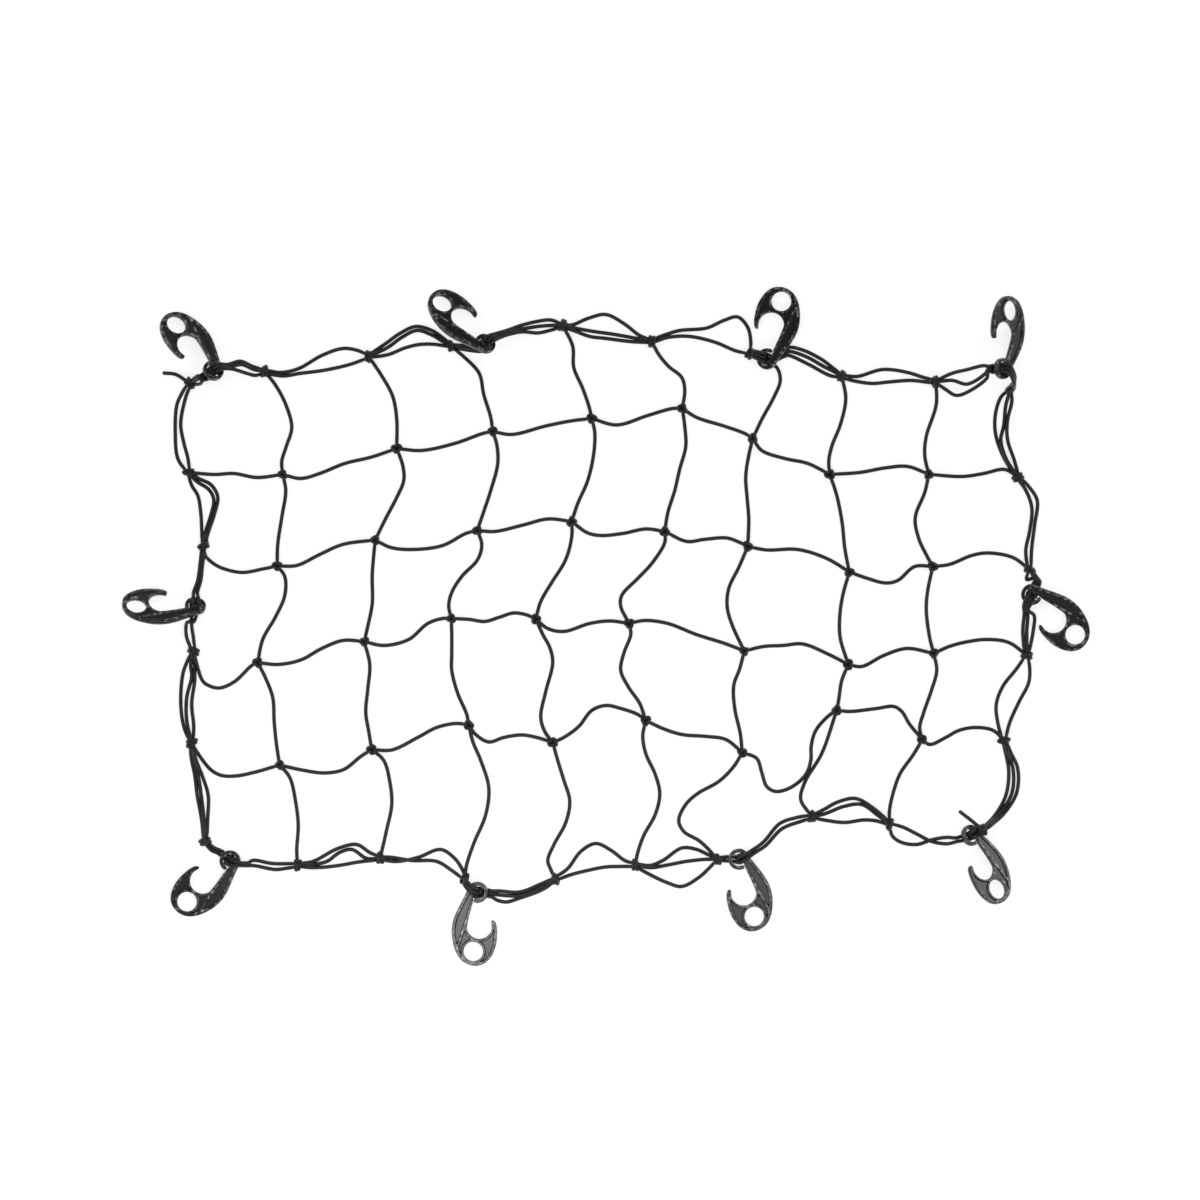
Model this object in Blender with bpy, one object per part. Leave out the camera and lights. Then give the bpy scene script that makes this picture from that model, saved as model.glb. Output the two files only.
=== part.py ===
"""Elastic luggage net, laid out loosely on the floor: a knotted mesh of round cord, the doubled strands
of its border, and ten flat plastic hooks threaded on that border.

Metres, +Z up. The net lies on z = 0 with its length along X, and the origin is under its middle.
Routes are placed on a laying grid, x to the right and y down, whose step is GRID metres.
"""

import math

import bmesh
import bpy
from mathutils import Matrix, Vector

# ---- driving dimensions ----------------------------------------------------------------------------
MM = 0.001
GRID = 0.65 * MM                 # one step of the laying grid
GRID_ORIGIN = (606.5, 625.6)     # the grid place that lies over the origin

CORD_WIDTH = 2.3 * MM            # side of the square section that stands for a round cord of 2.5 mm
ROUTE_TOLERANCE = 0.90 * MM      # how far a faceted strand may leave its smooth route
ROUTE_STEPS = 8                  # steps between two stations, before the route is thinned

KNOT_HEIGHT = 2.7 * MM           # middle of a knot over the floor
KNOT_RADIUS = 3.3 * MM           # over the ridges of its two turns
KNOT_SIDES = 6
# rings of a knot, as shares of its radius: along, radius
MESH_TURNS = ((-1.0, 0.56), (-0.5, 1.0), (0.5, 1.0), (1.0, 0.56))
BORDER_TURNS = ((-0.9, 0.86), (0.0, 1.0), (0.9, 0.86))
KNOT_SINK = 1.6 * MM             # where a mesh cord stops, inside a knot
GRIP_PLACE = 0.8 * MM            # where a border strand ends, off the middle of its knot
KNOT_CLEAR = 4.15 * MM           # where a mesh cord stops short of the middle of a border knot
# the same for the knots whose cord starts tight beside the border's strands
FAR_CLEAR = {
    (0, 1): 7.0 * MM, (0, 3): 7.5 * MM, (0, 4): 6.0 * MM, (0, 5): 6.0 * MM, (0, 6): 19.5 * MM,
    (1, 0): 9.0 * MM, (1, 9): 8.0 * MM,
    (2, 0): 8.0 * MM, (2, 9): 6.5 * MM, (3, 0): 19.5 * MM, (3, 9): 6.5 * MM, (4, 0): 12.0 * MM,
    (4, 9): 8.0 * MM, (5, 3): 8.5 * MM, (5, 6): 9.0 * MM, (5, 8): 6.5 * MM,
}
FACETS_KEPT = 0.80               # share of the mesh's facets kept where cords and knots have joined
LAID_OVER = (2.3 * MM, 2.1 * MM)   # sideways, upward: how near the middles of two strands come
LAID_RAMP = 6.0 * MM             # a strand leaves its knot over this length before it lies over another
# how one, two or three strands lie side by side in a border knot: sideways, up (mm)
GRIPS = {
    1: ((0.0, 0.0),),
    2: ((-1.05, 0.0), (1.05, 0.0)),
    3: ((-1.05, -0.8), (0.0, 1.2), (1.05, -0.8)),
}

HOOK_THICKNESS = 3.2 * MM
THREAD_REACH = 4.0 * MM          # from a hook's middle plane to a strand that passes over or under it
THREAD_ENTRY = 1.8               # how far outside the curl a strand's way through the eye begins (mm)
LEAN_KEPT = 0.25                 # share of its lean that a strand still has inside the curl
REACH_INSIDE = 0.95              # share of its reach that a strand still has inside the curl
REACH_AT_SHANK = 1.1             # share of its reach that it has on the other side, at the shank
DESCENT = 0.6                    # how steeply a strand comes down from a hook, as height over run

# ---- the knots, six rows of ten, as (x, y) on the laying grid ----------------------------------------
KNOTS = (
    ((190, 383), (265, 371), (369, 356), (451, 345.5), (563, 325),
     (652, 341), (750, 353), (842, 376), (936, 381.5), (1010.5, 389)),
    ((189, 472), (283, 474), (397, 448), (493, 431), (592, 418),
     (682.5, 408), (753, 438), (830, 474), (929, 474), (1018, 477)),
    ((204, 545), (277.5, 565.5), (375.5, 539.5), (477.5, 530), (572, 521),
     (665, 531), (748, 546), (849.5, 571.5), (933, 566), (1029.5, 569)),
    ((194, 650.5), (258, 662), (364.5, 641), (451.5, 618), (536, 618.5),
     (629.5, 623), (744.5, 650.5), (848.5, 664), (934, 653), (1027, 655)),
    ((192, 742), (280, 764.5), (372, 749), (469, 724.5), (553, 742),
     (646, 720), (742.5, 752), (837, 709.5), (922.5, 739), (1004, 740)),
    ((205.5, 841), (298, 864.5), (380.5, 857.5), (465, 878), (555.5, 878.5),
     (635.5, 864.5), (717, 858.5), (812, 816), (889.5, 823.5), (982, 829)),
)
LAST_ROW = len(KNOTS) - 1
LAST_COLUMN = len(KNOTS[0]) - 1
PROPPED_KNOTS = {(5, 9): 11.5 * MM}   # this one leans on the edge of a hook, higher than the rest

# ---- the mesh: a cord from each knot to the next across, and to the next down ------------------------
# row, column of the knot it leaves, then the places it passes
CORDS_ACROSS = (
    (1, 0, ((215, 474), (234, 473), (257, 477))),
    (1, 1, ((301, 478), (320, 473), (345, 463), (372, 456.5))),
    (1, 2, ((422, 450), (456.5, 442.5), (483, 433))),
    (1, 3, ((512, 434), (546, 425.5), (571, 420.5))),
    (1, 4, ((617, 424.5), (648, 415), (673, 408))),
    (1, 5, ((697, 417), (724, 425.5), (745, 433))),
    (1, 6, ((762, 450), (785, 458), (808, 463))),
    (1, 7, ((860, 472), (885, 467.5), (908, 466))),
    (1, 8, ((963, 476), (984, 473), (1005, 469))),
    (2, 0, ((206, 555.5), (213, 562.5), (222, 567.5), (242, 572), (263, 568.5))),
    (2, 1, ((297, 565), (320, 554), (343, 544))),
    (2, 2, ((391, 547), (414, 549), (443, 545), (466, 533))),
    (2, 3, ((495, 531), (523.5, 524.5), (548, 518.5))),
    (2, 4, ((587, 532), (600, 535), (623, 533), (646, 528.5))),
    (2, 5, ((687, 541), (704, 539), (727, 537.5), (740, 542))),
    (2, 6, ((767, 549.5), (798, 549), (827, 558))),
    (2, 7, ((865, 577), (886, 582.5), (898, 580), (915, 566))),
    (2, 8, ((949.5, 564), (972, 555), (988, 552.5), (1013, 557))),
    (3, 0, ((203, 680.5), (210, 685.5), (220, 687.5), (235, 681), (252, 665))),
    (3, 1, ((278, 664), (301, 659.5), (322, 648), (343, 640))),
    (3, 2, ((384, 645), (409, 639), (428, 623), (443, 618))),
    (3, 3, ((470, 619), (485, 621), (499, 617), (514, 612.5), (527, 614.5))),
    (3, 4, ((548, 628), (564, 631), (590, 623), (610, 620.5))),
    (3, 5, ((645, 620), (668, 623), (696.5, 634), (725, 643))),
    (3, 6, ((764, 646), (783, 645), (803, 643.5), (827, 653))),
    (3, 7, ((862, 666), (884, 655), (907, 648))),
    (3, 8, ((949.5, 646), (969, 641), (988, 639), (1009, 642))),
    (4, 0, ((201, 757), (212, 770), (222, 775), (236, 775.5), (254, 772))),
    (4, 1, ((302, 769.5), (325, 772.5), (344, 769), (361, 756))),
    (4, 2, ((392, 749.5), (418, 737), (437, 727), (456.5, 723))),
    (4, 3, ((476, 734), (489, 741.5), (504, 737), (522, 734.5), (537, 737))),
    (4, 4, ((564, 737), (579, 726), (592, 710), (606, 705), (621, 708), (638, 714))),
    (4, 5, ((663, 728), (682, 734), (707, 736), (726, 739))),
    (4, 6, ((757, 758), (762, 772), (767, 786), (776, 791), (791, 787), (806, 774),
            (811, 760), (811.5, 745), (816, 730), (828, 716))),
    (4, 7, ((849, 711), (877, 708), (894, 706), (902, 711), (910, 724))),
    (4, 8, ((930, 744), (946, 737), (959, 730), (976, 727), (993.5, 730))),
)
CORDS_DOWN = (
    (0, 1, ((276, 385), (286, 404), (292, 427), (286.5, 446), (282, 461))),
    (1, 1, ((286, 490), (282, 517), (278, 544))),
    (2, 1, ((285, 576), (285, 595), (276, 616), (263, 639))),
    (3, 1, ((266, 678), (273, 697), (274.5, 722), (277, 746))),
    (4, 1, ((290, 777), (296, 802), (298.5, 825), (297, 850))),
    (0, 2, ((383, 377), (393, 396), (397, 419))),
    (1, 2, ((403, 465), (404, 480), (397, 497), (386, 518))),
    (2, 2, ((372.5, 574), (372.5, 603), (368, 626))),
    (3, 2, ((370, 664), (368, 689), (366, 712), (369, 731))),
    (4, 2, ((384, 760), (390, 781), (392, 804), (387, 829))),
    (0, 3, ((466, 358), (479.5, 373), (484, 394), (491, 417))),
    (1, 3, ((497, 444), (498, 463), (491, 490), (483, 514))),
    (2, 3, ((482, 544), (478, 559), (462, 576), (452, 592), (449, 605))),
    (3, 3, ((452, 634), (452, 653), (452, 670), (458, 693), (467, 714))),
    (4, 3, ((473, 741), (481, 760), (489, 787), (486, 814), (474, 843), (467, 864))),
    (0, 4, ((573, 346), (574, 367), (583, 388), (589.5, 407))),
    (1, 4, ((595, 432), (594, 453), (588, 480), (578, 503))),
    (2, 4, ((572, 536), (566, 559), (552, 582), (541, 601))),
    (3, 4, ((543, 634), (550, 647), (553, 662), (546, 691), (541, 716), (544.5, 730))),
    (4, 4, ((558, 760), (564, 779.5), (570, 800.5), (566, 822), (554, 844.5), (548, 860), (551, 869))),
    (0, 5, ((659, 354), (669, 366), (682, 377), (685, 390))),
    (1, 5, ((685, 426), (686, 446), (680, 468.5), (675, 490), (668, 512.5))),
    (2, 5, ((665, 542), (652, 563), (638, 578), (622, 595), (621, 606))),
    (3, 5, ((631, 634), (624, 653), (621, 670), (629, 687), (640, 703))),
    (4, 5, ((643, 735.5), (646, 753), (655.5, 774), (660, 793), (655.5, 814), (644, 835), (638, 852))),
    (0, 6, ((766, 361), (777, 367), (780.5, 380), (774, 397), (762, 419))),
    (1, 6, ((749, 455), (746, 476), (747.5, 499), (749, 518))),
    (2, 6, ((739, 567), (729, 588), (727.5, 607), (733, 626))),
    (3, 6, ((740, 668), (734, 685), (735, 708), (740.5, 733))),
    (4, 6, ((734, 766), (719, 781), (698, 793), (686, 804), (679, 820), (684, 831), (699, 840), (709, 849))),
    (0, 7, ((846, 398), (841, 423), (832, 446), (829, 461))),
    (1, 7, ((837, 495), (842.5, 523), (845, 547.5))),
    (2, 7, ((843, 595), (840, 616), (840.5, 637.5))),
    (3, 7, ((842, 680), (839, 699))),
    (4, 7, ((822, 753), (805, 782), (801, 799))),
    (0, 8, ((936.5, 404), (926.5, 436), (925, 455))),
    (1, 8, ((925, 492), (915.5, 517), (919, 538), (928, 557))),
    (2, 8, ((928, 590), (926.5, 609), (930, 637.5))),
    (3, 8, ((937, 670), (932, 689), (924, 712), (920, 727))),
    (4, 8, ((913, 755), (901, 772), (895, 787), (890, 808))),
)

# ---- the border: two or three loose strands from each border knot to the next -------------------------
# knot it leaves, places on the way, knot it reaches
BORDER_STRANDS = (
    ((0, 1), ((281, 372), (299, 368), (322, 355), (343, 348), (358, 350)), (0, 2)),
    ((0, 1), ((283, 375.5), (300, 373), (326, 369.5), (350, 364)), (0, 2)),
    ((0, 2), ((386, 343), (400, 333), (416, 326), (432, 330), (444, 338)), (0, 3)),
    ((0, 2), ((388, 347), (402, 337), (417, 330), (431, 334), (443, 341)), (0, 3)),
    ((0, 2), ((389, 354), (405, 347.5), (420, 344), (436, 344)), (0, 3)),
    ((0, 4), ((572, 324.5), (588, 318), (606, 314), (624, 323), (640, 335)), (0, 5)),
    ((0, 4), ((577, 328), (594, 331), (612, 333.5), (632, 337)), (0, 5)),
    ((0, 4), ((576, 331), (590, 336), (606, 338), (630, 341)), (0, 5)),
    ((0, 5), ((666, 334), (680, 330), (707, 327.5), (724, 320), (738, 316.5), (748, 327), (751, 341)), (0, 6)),
    ((0, 5), ((668, 337), (690, 336), (716, 342), (735, 350)), (0, 6)),
    ((0, 7), ((857, 376), (883, 369), (908, 372), (924, 377)), (0, 8)),
    ((0, 7), ((857, 381), (873, 383), (889, 381.5), (912, 380)), (0, 8)),
    ((0, 9), ((1001, 397), (995.5, 415), (996, 434.5), (1003.5, 456)), (1, 9)),
    ((0, 9), ((1006, 405), (1004, 425), (1001, 440), (1006, 458)), (1, 9)),
    ((0, 9), ((1012, 402), (1007.5, 421), (1008, 440), (1014, 458)), (1, 9)),
    ((1, 9), ((1025, 488), (1032, 507), (1030, 530), (1026, 550)), (2, 9)),
    ((1, 9), ((1029, 486), (1037.5, 500), (1035, 524), (1032, 548)), (2, 9)),
    ((3, 9), ((1017, 668), (1003, 686), (996.5, 704), (998, 722)), (4, 9)),
    ((3, 9), ((1030, 668), (1029, 682), (1019, 702), (1010, 722)), (4, 9)),
    ((4, 9), ((1006, 753), (1009, 772), (1006, 795), (995, 815)), (5, 9)),
    ((4, 9), ((1008, 752), (1013.5, 770), (1012, 793), (1000, 813)), (5, 9)),
    ((4, 9), ((1011, 752), (1018, 768), (1017, 792), (1005, 812)), (5, 9)),
    ((5, 8), ((877, 820.5), (864, 819.5), (845, 822), (827, 820)), (5, 7)),
    ((5, 8), ((877, 814), (862, 804), (844, 806), (826, 813)), (5, 7)),
    ((5, 8), ((874, 808), (856, 798), (838, 801.5), (824, 809)), (5, 7)),
    ((5, 6), ((708, 854), (697, 849), (682, 847.5), (663, 860), (650, 865)), (5, 5)),
    ((5, 6), ((704, 859), (686, 861), (668, 864.5), (652, 867)), (5, 5)),
    ((5, 6), ((709, 868), (699, 877), (682, 886), (667, 882), (648, 873)), (5, 5)),
    ((5, 5), ((625, 860), (611.5, 850), (596, 843), (581, 851), (568, 868)), (5, 4)),
    ((5, 5), ((621, 866), (606, 866.5), (590, 869.5), (572, 874)), (5, 4)),
    ((5, 3), ((462, 868), (455, 858), (441, 849), (418, 857), (397, 861)), (5, 2)),
    ((5, 3), ((452, 870), (437, 861), (413, 860), (393, 857)), (5, 2)),
    ((5, 2), ((370, 852), (357, 844), (338, 848), (313, 861)), (5, 1)),
    ((5, 2), ((367, 858), (352, 849), (340, 852), (327, 861), (313, 864)), (5, 1)),
    ((5, 2), ((359, 861.5), (339, 865), (319, 867)), (5, 1)),
    ((4, 0), ((191.5, 757), (195, 775), (197.5, 795), (202, 820)), (5, 0)),
    ((4, 0), ((194.5, 757), (198.5, 775), (201.5, 795), (204.5, 820)), (5, 0)),
    ((4, 0), ((196, 757), (202.5, 775), (208.5, 795), (208, 818)), (5, 0)),
    ((3, 0), ((187, 662), (183, 674), (181, 703), (184, 726)), (4, 0)),
    ((3, 0), ((191, 665), (192, 676), (187, 697), (187, 720)), (4, 0)),
    ((3, 0), ((195, 665), (195, 680), (192, 703), (194, 726)), (4, 0)),
    ((1, 0), ((192, 485), (198, 495), (201, 512), (202, 530)), (2, 0)),
    ((1, 0), ((197, 481), (209, 489), (214, 499), (211, 515), (206, 531)), (2, 0)),
    ((1, 0), ((199, 478), (211, 484), (218, 496), (215, 513), (209, 531)), (2, 0)),
    ((0, 0), ((182, 393), (177, 405), (175.5, 433), (178, 458)), (1, 0)),
    ((0, 0), ((186, 397), (181, 423), (184, 442), (188, 457)), (1, 0)),
)
# knot it leaves, places before the hook, hook, sideways place in its eye (mm), places after, knot it reaches
THREADED_STRANDS = (
    ((0, 0), ((199, 376),), "hook_1", 1.5, ((241, 361), (253, 366)), (0, 1)),
    ((0, 0), ((200, 379),), "hook_1", 0.0, ((243, 364.5), (254, 369)), (0, 1)),
    ((0, 0), ((202, 383.5),), "hook_1", -1.5, ((247, 373), (256, 375)), (0, 1)),
    ((0, 3), (), "hook_2", 1.5, ((508, 330), (521, 325), (537, 321), (551, 319.5)), (0, 4)),
    ((0, 3), (), "hook_2", 0.0, ((509, 332), (523, 328.5), (538, 326), (550, 325)), (0, 4)),
    ((0, 3), (), "hook_2", -1.5, ((509, 334.5), (523, 331.5), (538, 332.5), (550, 330)), (0, 4)),
    ((0, 6), (), "hook_3", 1.5, ((789, 347), (803, 349.5), (822, 359), (834, 368)), (0, 7)),
    ((0, 6), (), "hook_3", 0.0, ((789, 351), (806, 356), (824, 366), (834, 371)), (0, 7)),
    ((0, 6), (), "hook_3", -1.5, ((789, 355), (808, 363.5), (830, 375)), (0, 7)),
    ((0, 8), ((952, 373), (967, 369.5), (982, 366)), "hook_4", 1.5, (), (0, 9)),
    ((0, 8), ((952, 380), (967, 384), (984, 374)), "hook_4", 0.0, (), (0, 9)),
    ((0, 8), ((946, 389), (956, 395), (968, 391.5), (986, 378)), "hook_4", -1.5, (), (0, 9)),
    ((2, 0), ((200.5, 562), (198, 580)), "hook_5", 1.0, ((188, 622), (187, 636)), (3, 0)),
    ((2, 0), ((203, 562), (201, 580)), "hook_5", -1.0, ((193, 622), (194, 638)), (3, 0)),
    ((2, 9), ((1027, 579),), "hook_6", -1.5, ((1024, 612), (1023, 630), (1024, 645)), (3, 9)),
    ((2, 9), ((1036, 579),), "hook_6", 0.0, ((1027.5, 613), (1027, 630), (1027, 645)), (3, 9)),
    ((2, 9), ((1038.7, 579),), "hook_6", 1.5, ((1034, 615), (1033.5, 630), (1031, 644)), (3, 9)),
    ((5, 0), ((214, 847),), "hook_7", -1.0, ((254, 859.5), (273, 863)), (5, 1)),
    ((5, 0), ((212, 850),), "hook_7", 1.0, ((255, 865), (275, 869), (286, 868)), (5, 1)),
    ((5, 3), (), "hook_8", -1.5, ((500, 890.5), (520, 891.5), (541, 883.5)), (5, 4)),
    ((5, 3), (), "hook_8", 0.0, ((500, 894.5), (520, 895), (543, 886)), (5, 4)),
    ((5, 3), (), "hook_8", 1.5, ((498, 900), (507, 901.5), (519, 898), (543, 889)), (5, 4)),
    ((5, 6), (), "hook_9", -1.0, ((764, 841), (780, 823), (797, 817)), (5, 7)),
    ((5, 6), (), "hook_9", 1.0, ((766, 845), (782, 828.5), (801, 821)), (5, 7)),
    ((5, 8), ((893, 836), (902, 842), (917, 844), (933, 839), (947, 836.5)), "hook_10", -1.0, (), (5, 9)),
    ((5, 8), ((904, 827), (918, 834), (932, 841), (947, 843)), "hook_10", 1.0, (), (5, 9)),
)
# knot it leaves, then the places on the way to its cut end: x, y, height (mm)
FREE_ENDS = (
    ((0, 0), ((176, 374, 1.5), (163.5, 372.5, 1.15))),
    ((5, 9), ((972, 820.5, 9.0), (960, 811, 2.0))),
)

# ---- the hooks -----------------------------------------------------------------------------------------
# name, eye, head hole (grid), turn of the mouth seen from the eye (1 left, -1 right), roll that lifts the
# mouth (degrees), height of the eye (mm), side from which the strands come, whether they pass over (1) or
# under (-1) the curl, how far they lean along the hook as they cross the curl, and where they cross the
# back: along, across (mm), or None where they run straight on to their knot
HOOKS = (
    ("hook_1", (213.4, 369.6), (178, 326.4), 1, 33, 13.0, "mouth", -1, 1.0, (-4.5, -9.2)),
    ("hook_2", (484.6, 343.1), (443.3, 304.8), -1, -35, 14.0, "back", 1, -2.2, None),
    ("hook_3", (767.3, 358.5), (781.5, 301.3), 1, -4, 5.5, "mouth", 1, 0.6, (7.0, -10.8)),
    ("hook_4", (1001.5, 367.4), (1009.2, 312.2), 1, 42, 16.0, "mouth", -1, -2.3, (-6.0, -8.5)),
    ("hook_5", (197, 605.6), (137, 606), -1, -43, 6.1, "mouth", 1, -0.7, (3.0, -10.0)),
    ("hook_6", (1031, 593.5), (1075.8, 634.6), -1, -4, 5.6, "back", 1, 2.6, (-3.2, -9.6)),
    ("hook_7", (231.3, 859.6), (186.8, 901.6), -1, 3, 4.8, "mouth", -1, 1.5, (-6.5, -8.5)),
    ("hook_8", (477.8, 890.7), (473.5, 951.7), 1, 4, 5.0, "back", -1, 0.7, (-6.0, -8.0)),
    ("hook_9", (739, 858.1), (754.5, 916.3), -1, 3, 4.8, "mouth", -1, -2.2, (-2.6, -9.6)),
    ("hook_10", (970.1, 833.9), (996.4, 888.7), -1, 34, 9.0, "mouth", -1, -1.5, (0.5, -8.0)),
)

# Hook outline, in mm: along from the eye to the head, across towards the mouth
EYE_OUTER = 6.9
EYE_BORE = 4.5
EYE_MIDDLE = 0.95                # across: between the shank's inner edge and the curl
EYE_RUN = 2.05                   # how far across a strand goes while it leaves the plate's middle plane
CURL_END = -10                   # degrees: the curl stops here, a slit short of the shank
HEAD_HOLE = ((38.7, 0.0), 6.4)
MOUTH_ARC = ((22.0, 2.7), 8.3)
BACK_EDGE = ((-0.5, -6.9), (3.5, -8.3), (10.5, -11.4), (17.6, -14.0), (22.9, -14.9), (29.1, -14.7),
             (36.1, -12.9), (41.3, -10.4), (45.7, -6.3), (47.8, -0.9), (47.6, 4.0), (45.5, 8.3))
NOSE_EDGE = ((40.9, 12.0), (34.1, 14.3), (26.6, 14.7), (21.6, 14.1), (18.6, 13.0), (17.4, 11.3),
             (18.3, 10.3))
SHANK_INNER_EDGE = ((15.2, -4.2), (7.0, -2.6), (-4.0, -1.9))


def grid_point(x, y, height):
    """A place on the laying grid, at a height over the floor."""
    return Vector(((x - GRID_ORIGIN[0]) * GRID, (GRID_ORIGIN[1] - y) * GRID, height))


# ---- cords ----------------------------------------------------------------------------------------------
def smooth_route(stations):
    """A centripetal Catmull-Rom curve through the stations."""
    ends = [stations[0] * 2 - stations[1], *stations, stations[-1] * 2 - stations[-2]]
    route = []
    for p0, p1, p2, p3 in zip(ends, ends[1:], ends[2:], ends[3:]):
        t1 = math.sqrt((p1 - p0).length)
        t2 = t1 + math.sqrt((p2 - p1).length)
        t3 = t2 + math.sqrt((p3 - p2).length)
        for step in range(ROUTE_STEPS):
            t = t1 + (t2 - t1) * step / ROUTE_STEPS
            a1 = p0.lerp(p1, t / t1)
            a2 = p1.lerp(p2, (t - t1) / (t2 - t1))
            a3 = p2.lerp(p3, (t - t2) / (t3 - t2))
            b1 = a1.lerp(a2, t / t2)
            b2 = a2.lerp(a3, (t - t1) / (t3 - t1))
            point = b1.lerp(b2, (t - t1) / (t2 - t1))
            point.z = max(point.z, CORD_WIDTH / 2)
            route.append(point)
    return route + [stations[-1]]


def thinned(route):
    """The fewest points of the route that stay within the tolerance of it."""
    if len(route) < 3:
        return route
    run = route[-1] - route[0]
    away = [(p - route[0]).cross(run).length / run.length for p in route[1:-1]]
    furthest = max(range(len(away)), key=away.__getitem__)
    if away[furthest] < ROUTE_TOLERANCE:
        return [route[0], route[-1]]
    return thinned(route[:furthest + 2])[:-1] + thinned(route[furthest + 1:])


def stopped_short(route, knot):
    """The route, cut inside a knot of the mesh, or short of a knot of the border."""
    middle = knot_middle(*knot)
    clear = FAR_CLEAR.get(knot, KNOT_CLEAR if on_border(*knot) else KNOT_SINK)
    outside = [point for point in route if (point - middle).length > clear]
    if outside[0] != route[0]:
        outside.insert(0, middle + (outside[0] - middle).normalized() * clear)
    if outside[-1] != route[-1]:
        outside.append(middle + (outside[-1] - middle).normalized() * clear)
    return outside


def add_tube(mesh, route):
    """A closed square tube along the route, with a flat side down."""
    rings = []
    for before, here, after in zip([route[0], *route], route, [*route[1:], route[-1]]):
        along = (after - before).normalized()
        side = Vector((0, 0, 1)).cross(along).normalized() * CORD_WIDTH / 2
        top = along.cross(side)
        corners = (side + top, top - side, -side - top, side - top)
        rings.append([mesh.verts.new(here + corner) for corner in corners])
    for ring, following in zip(rings, rings[1:]):
        for corner in range(4):
            other = (corner + 1) % 4
            mesh.faces.new((ring[corner], ring[other], following[other], following[corner]))
    mesh.faces.new(rings[0][::-1])
    mesh.faces.new(rings[-1])


# ---- knots ----------------------------------------------------------------------------------------------
def knot_middle(row, column):
    x, y = KNOTS[row][column]
    return grid_point(x, y, PROPPED_KNOTS.get((row, column), KNOT_HEIGHT))


def on_border(row, column):
    return row in (0, LAST_ROW) or column in (0, LAST_COLUMN)


def border_direction(row, column):
    """The border's direction at one of its knots, from the knot before it to the next."""
    around = ((row, column - 1), (row - 1, column), (row, column + 1), (row + 1, column))
    before, after = [
        KNOTS[r][c] for r, c in around
        if 0 <= r <= LAST_ROW and 0 <= c <= LAST_COLUMN and on_border(r, c)
    ]
    return (grid_point(*after, 0) - grid_point(*before, 0)).normalized()


def add_knot(mesh, row, column):
    """A knot: a lump with turns of cord round it, flat where it lies on the floor."""
    middle = knot_middle(row, column)
    if on_border(row, column):
        turns, axis = BORDER_TURNS, border_direction(row, column)
    else:
        turns, heading = MESH_TURNS, math.radians(40 + 25 * ((row + 2 * column) % 3))
        axis = Vector((math.cos(heading), math.sin(heading), 0))
    side = Vector((0, 0, 1)).cross(axis)
    rings = []
    for along, radius in turns:
        ring = []
        for corner in range(KNOT_SIDES):
            angle = 2 * math.pi * corner / KNOT_SIDES
            offset = side * math.cos(angle) + Vector((0, 0, 1)) * math.sin(angle)
            point = middle + (axis * along + offset * radius) * KNOT_RADIUS
            point.z = max(point.z, 0)
            ring.append(mesh.verts.new(point))
        rings.append(ring)
    for ring, following in zip(rings, rings[1:]):
        for corner in range(KNOT_SIDES):
            other = (corner + 1) % KNOT_SIDES
            mesh.faces.new((ring[corner], ring[other], following[other], following[corner]))
    mesh.faces.new(rings[0][::-1])
    mesh.faces.new(rings[-1])


# ---- hooks ----------------------------------------------------------------------------------------------
def arc(centre, radius, start, end, steps):
    """Points on an arc, from one angle to the other in degrees, both ends included."""
    points = []
    for step in range(steps + 1):
        angle = math.radians(start + (end - start) * step / steps)
        points.append((centre[0] + radius * math.cos(angle), centre[1] + radius * math.sin(angle)))
    return points


def hook_outline():
    """The outer edge, once round: back, nose, mouth, shank, bore, and out round the curl."""
    mouth = arc(*MOUTH_ARC, 93, -75, 8)
    bore = arc((0, 0), EYE_BORE, 190, CURL_END, 8)
    curl = arc((0, 0), EYE_OUTER, CURL_END, 250, 10)
    return [*BACK_EDGE, *NOSE_EDGE, *mouth, *SHANK_INNER_EDGE, *bore, *curl]


def hook_mesh():
    """The flat hook, in metres, with its middle plane at z = 0 and its eye at the origin."""
    mesh = bmesh.new()
    loops = [hook_outline(), arc(*HEAD_HOLE, 360, 30, 11)]
    edges = []
    for loop in loops:
        corners = [mesh.verts.new((x * MM, y * MM, -HOOK_THICKNESS / 2)) for x, y in loop]
        edges += [mesh.edges.new(pair) for pair in zip(corners, corners[1:] + corners[:1])]
    bmesh.ops.triangle_fill(mesh, edges=edges, use_beauty=True)
    lifted = bmesh.ops.extrude_face_region(mesh, geom=mesh.faces[:])["geom"]
    corners = [item for item in lifted if isinstance(item, bmesh.types.BMVert)]
    bmesh.ops.translate(mesh, verts=corners, vec=(0, 0, HOOK_THICKNESS))
    bmesh.ops.recalc_face_normals(mesh, faces=mesh.faces[:])
    data = bpy.data.meshes.new("hook")
    mesh.to_mesh(data)
    mesh.free()
    return data


def hook_pose(hook):
    """The matrix that lays a hook down: eye at its height, head let down until it touches the floor."""
    eye, head, turn, roll, eye_height = hook[1:6]
    start, end = grid_point(*eye, 0), grid_point(*head, 0)
    heading = math.atan2(end.y - start.y, end.x - start.x)
    lift = math.radians(roll)
    lowest = []
    for along, across in hook_outline():
        if along > MOUTH_ARC[0][0] / 2:
            under = across * math.sin(lift) - HOOK_THICKNESS / MM / 2 * math.cos(lift)
            lowest.append((-eye_height - under) / along)
    pitch = math.asin(max(lowest))
    turned = (
        Matrix.Rotation(heading, 4, "Z")
        @ Matrix.Rotation(-pitch, 4, "Y")
        @ Matrix.Rotation(turn * lift, 4, "X")
        @ Matrix.Rotation(0 if turn > 0 else math.pi, 4, "X")
    )
    place = (start + end - turned @ Vector((HEAD_HOLE[0][0] * MM, 0, 0))) / 2
    place.z = eye_height * MM
    return Matrix.Translation(place) @ turned


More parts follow.
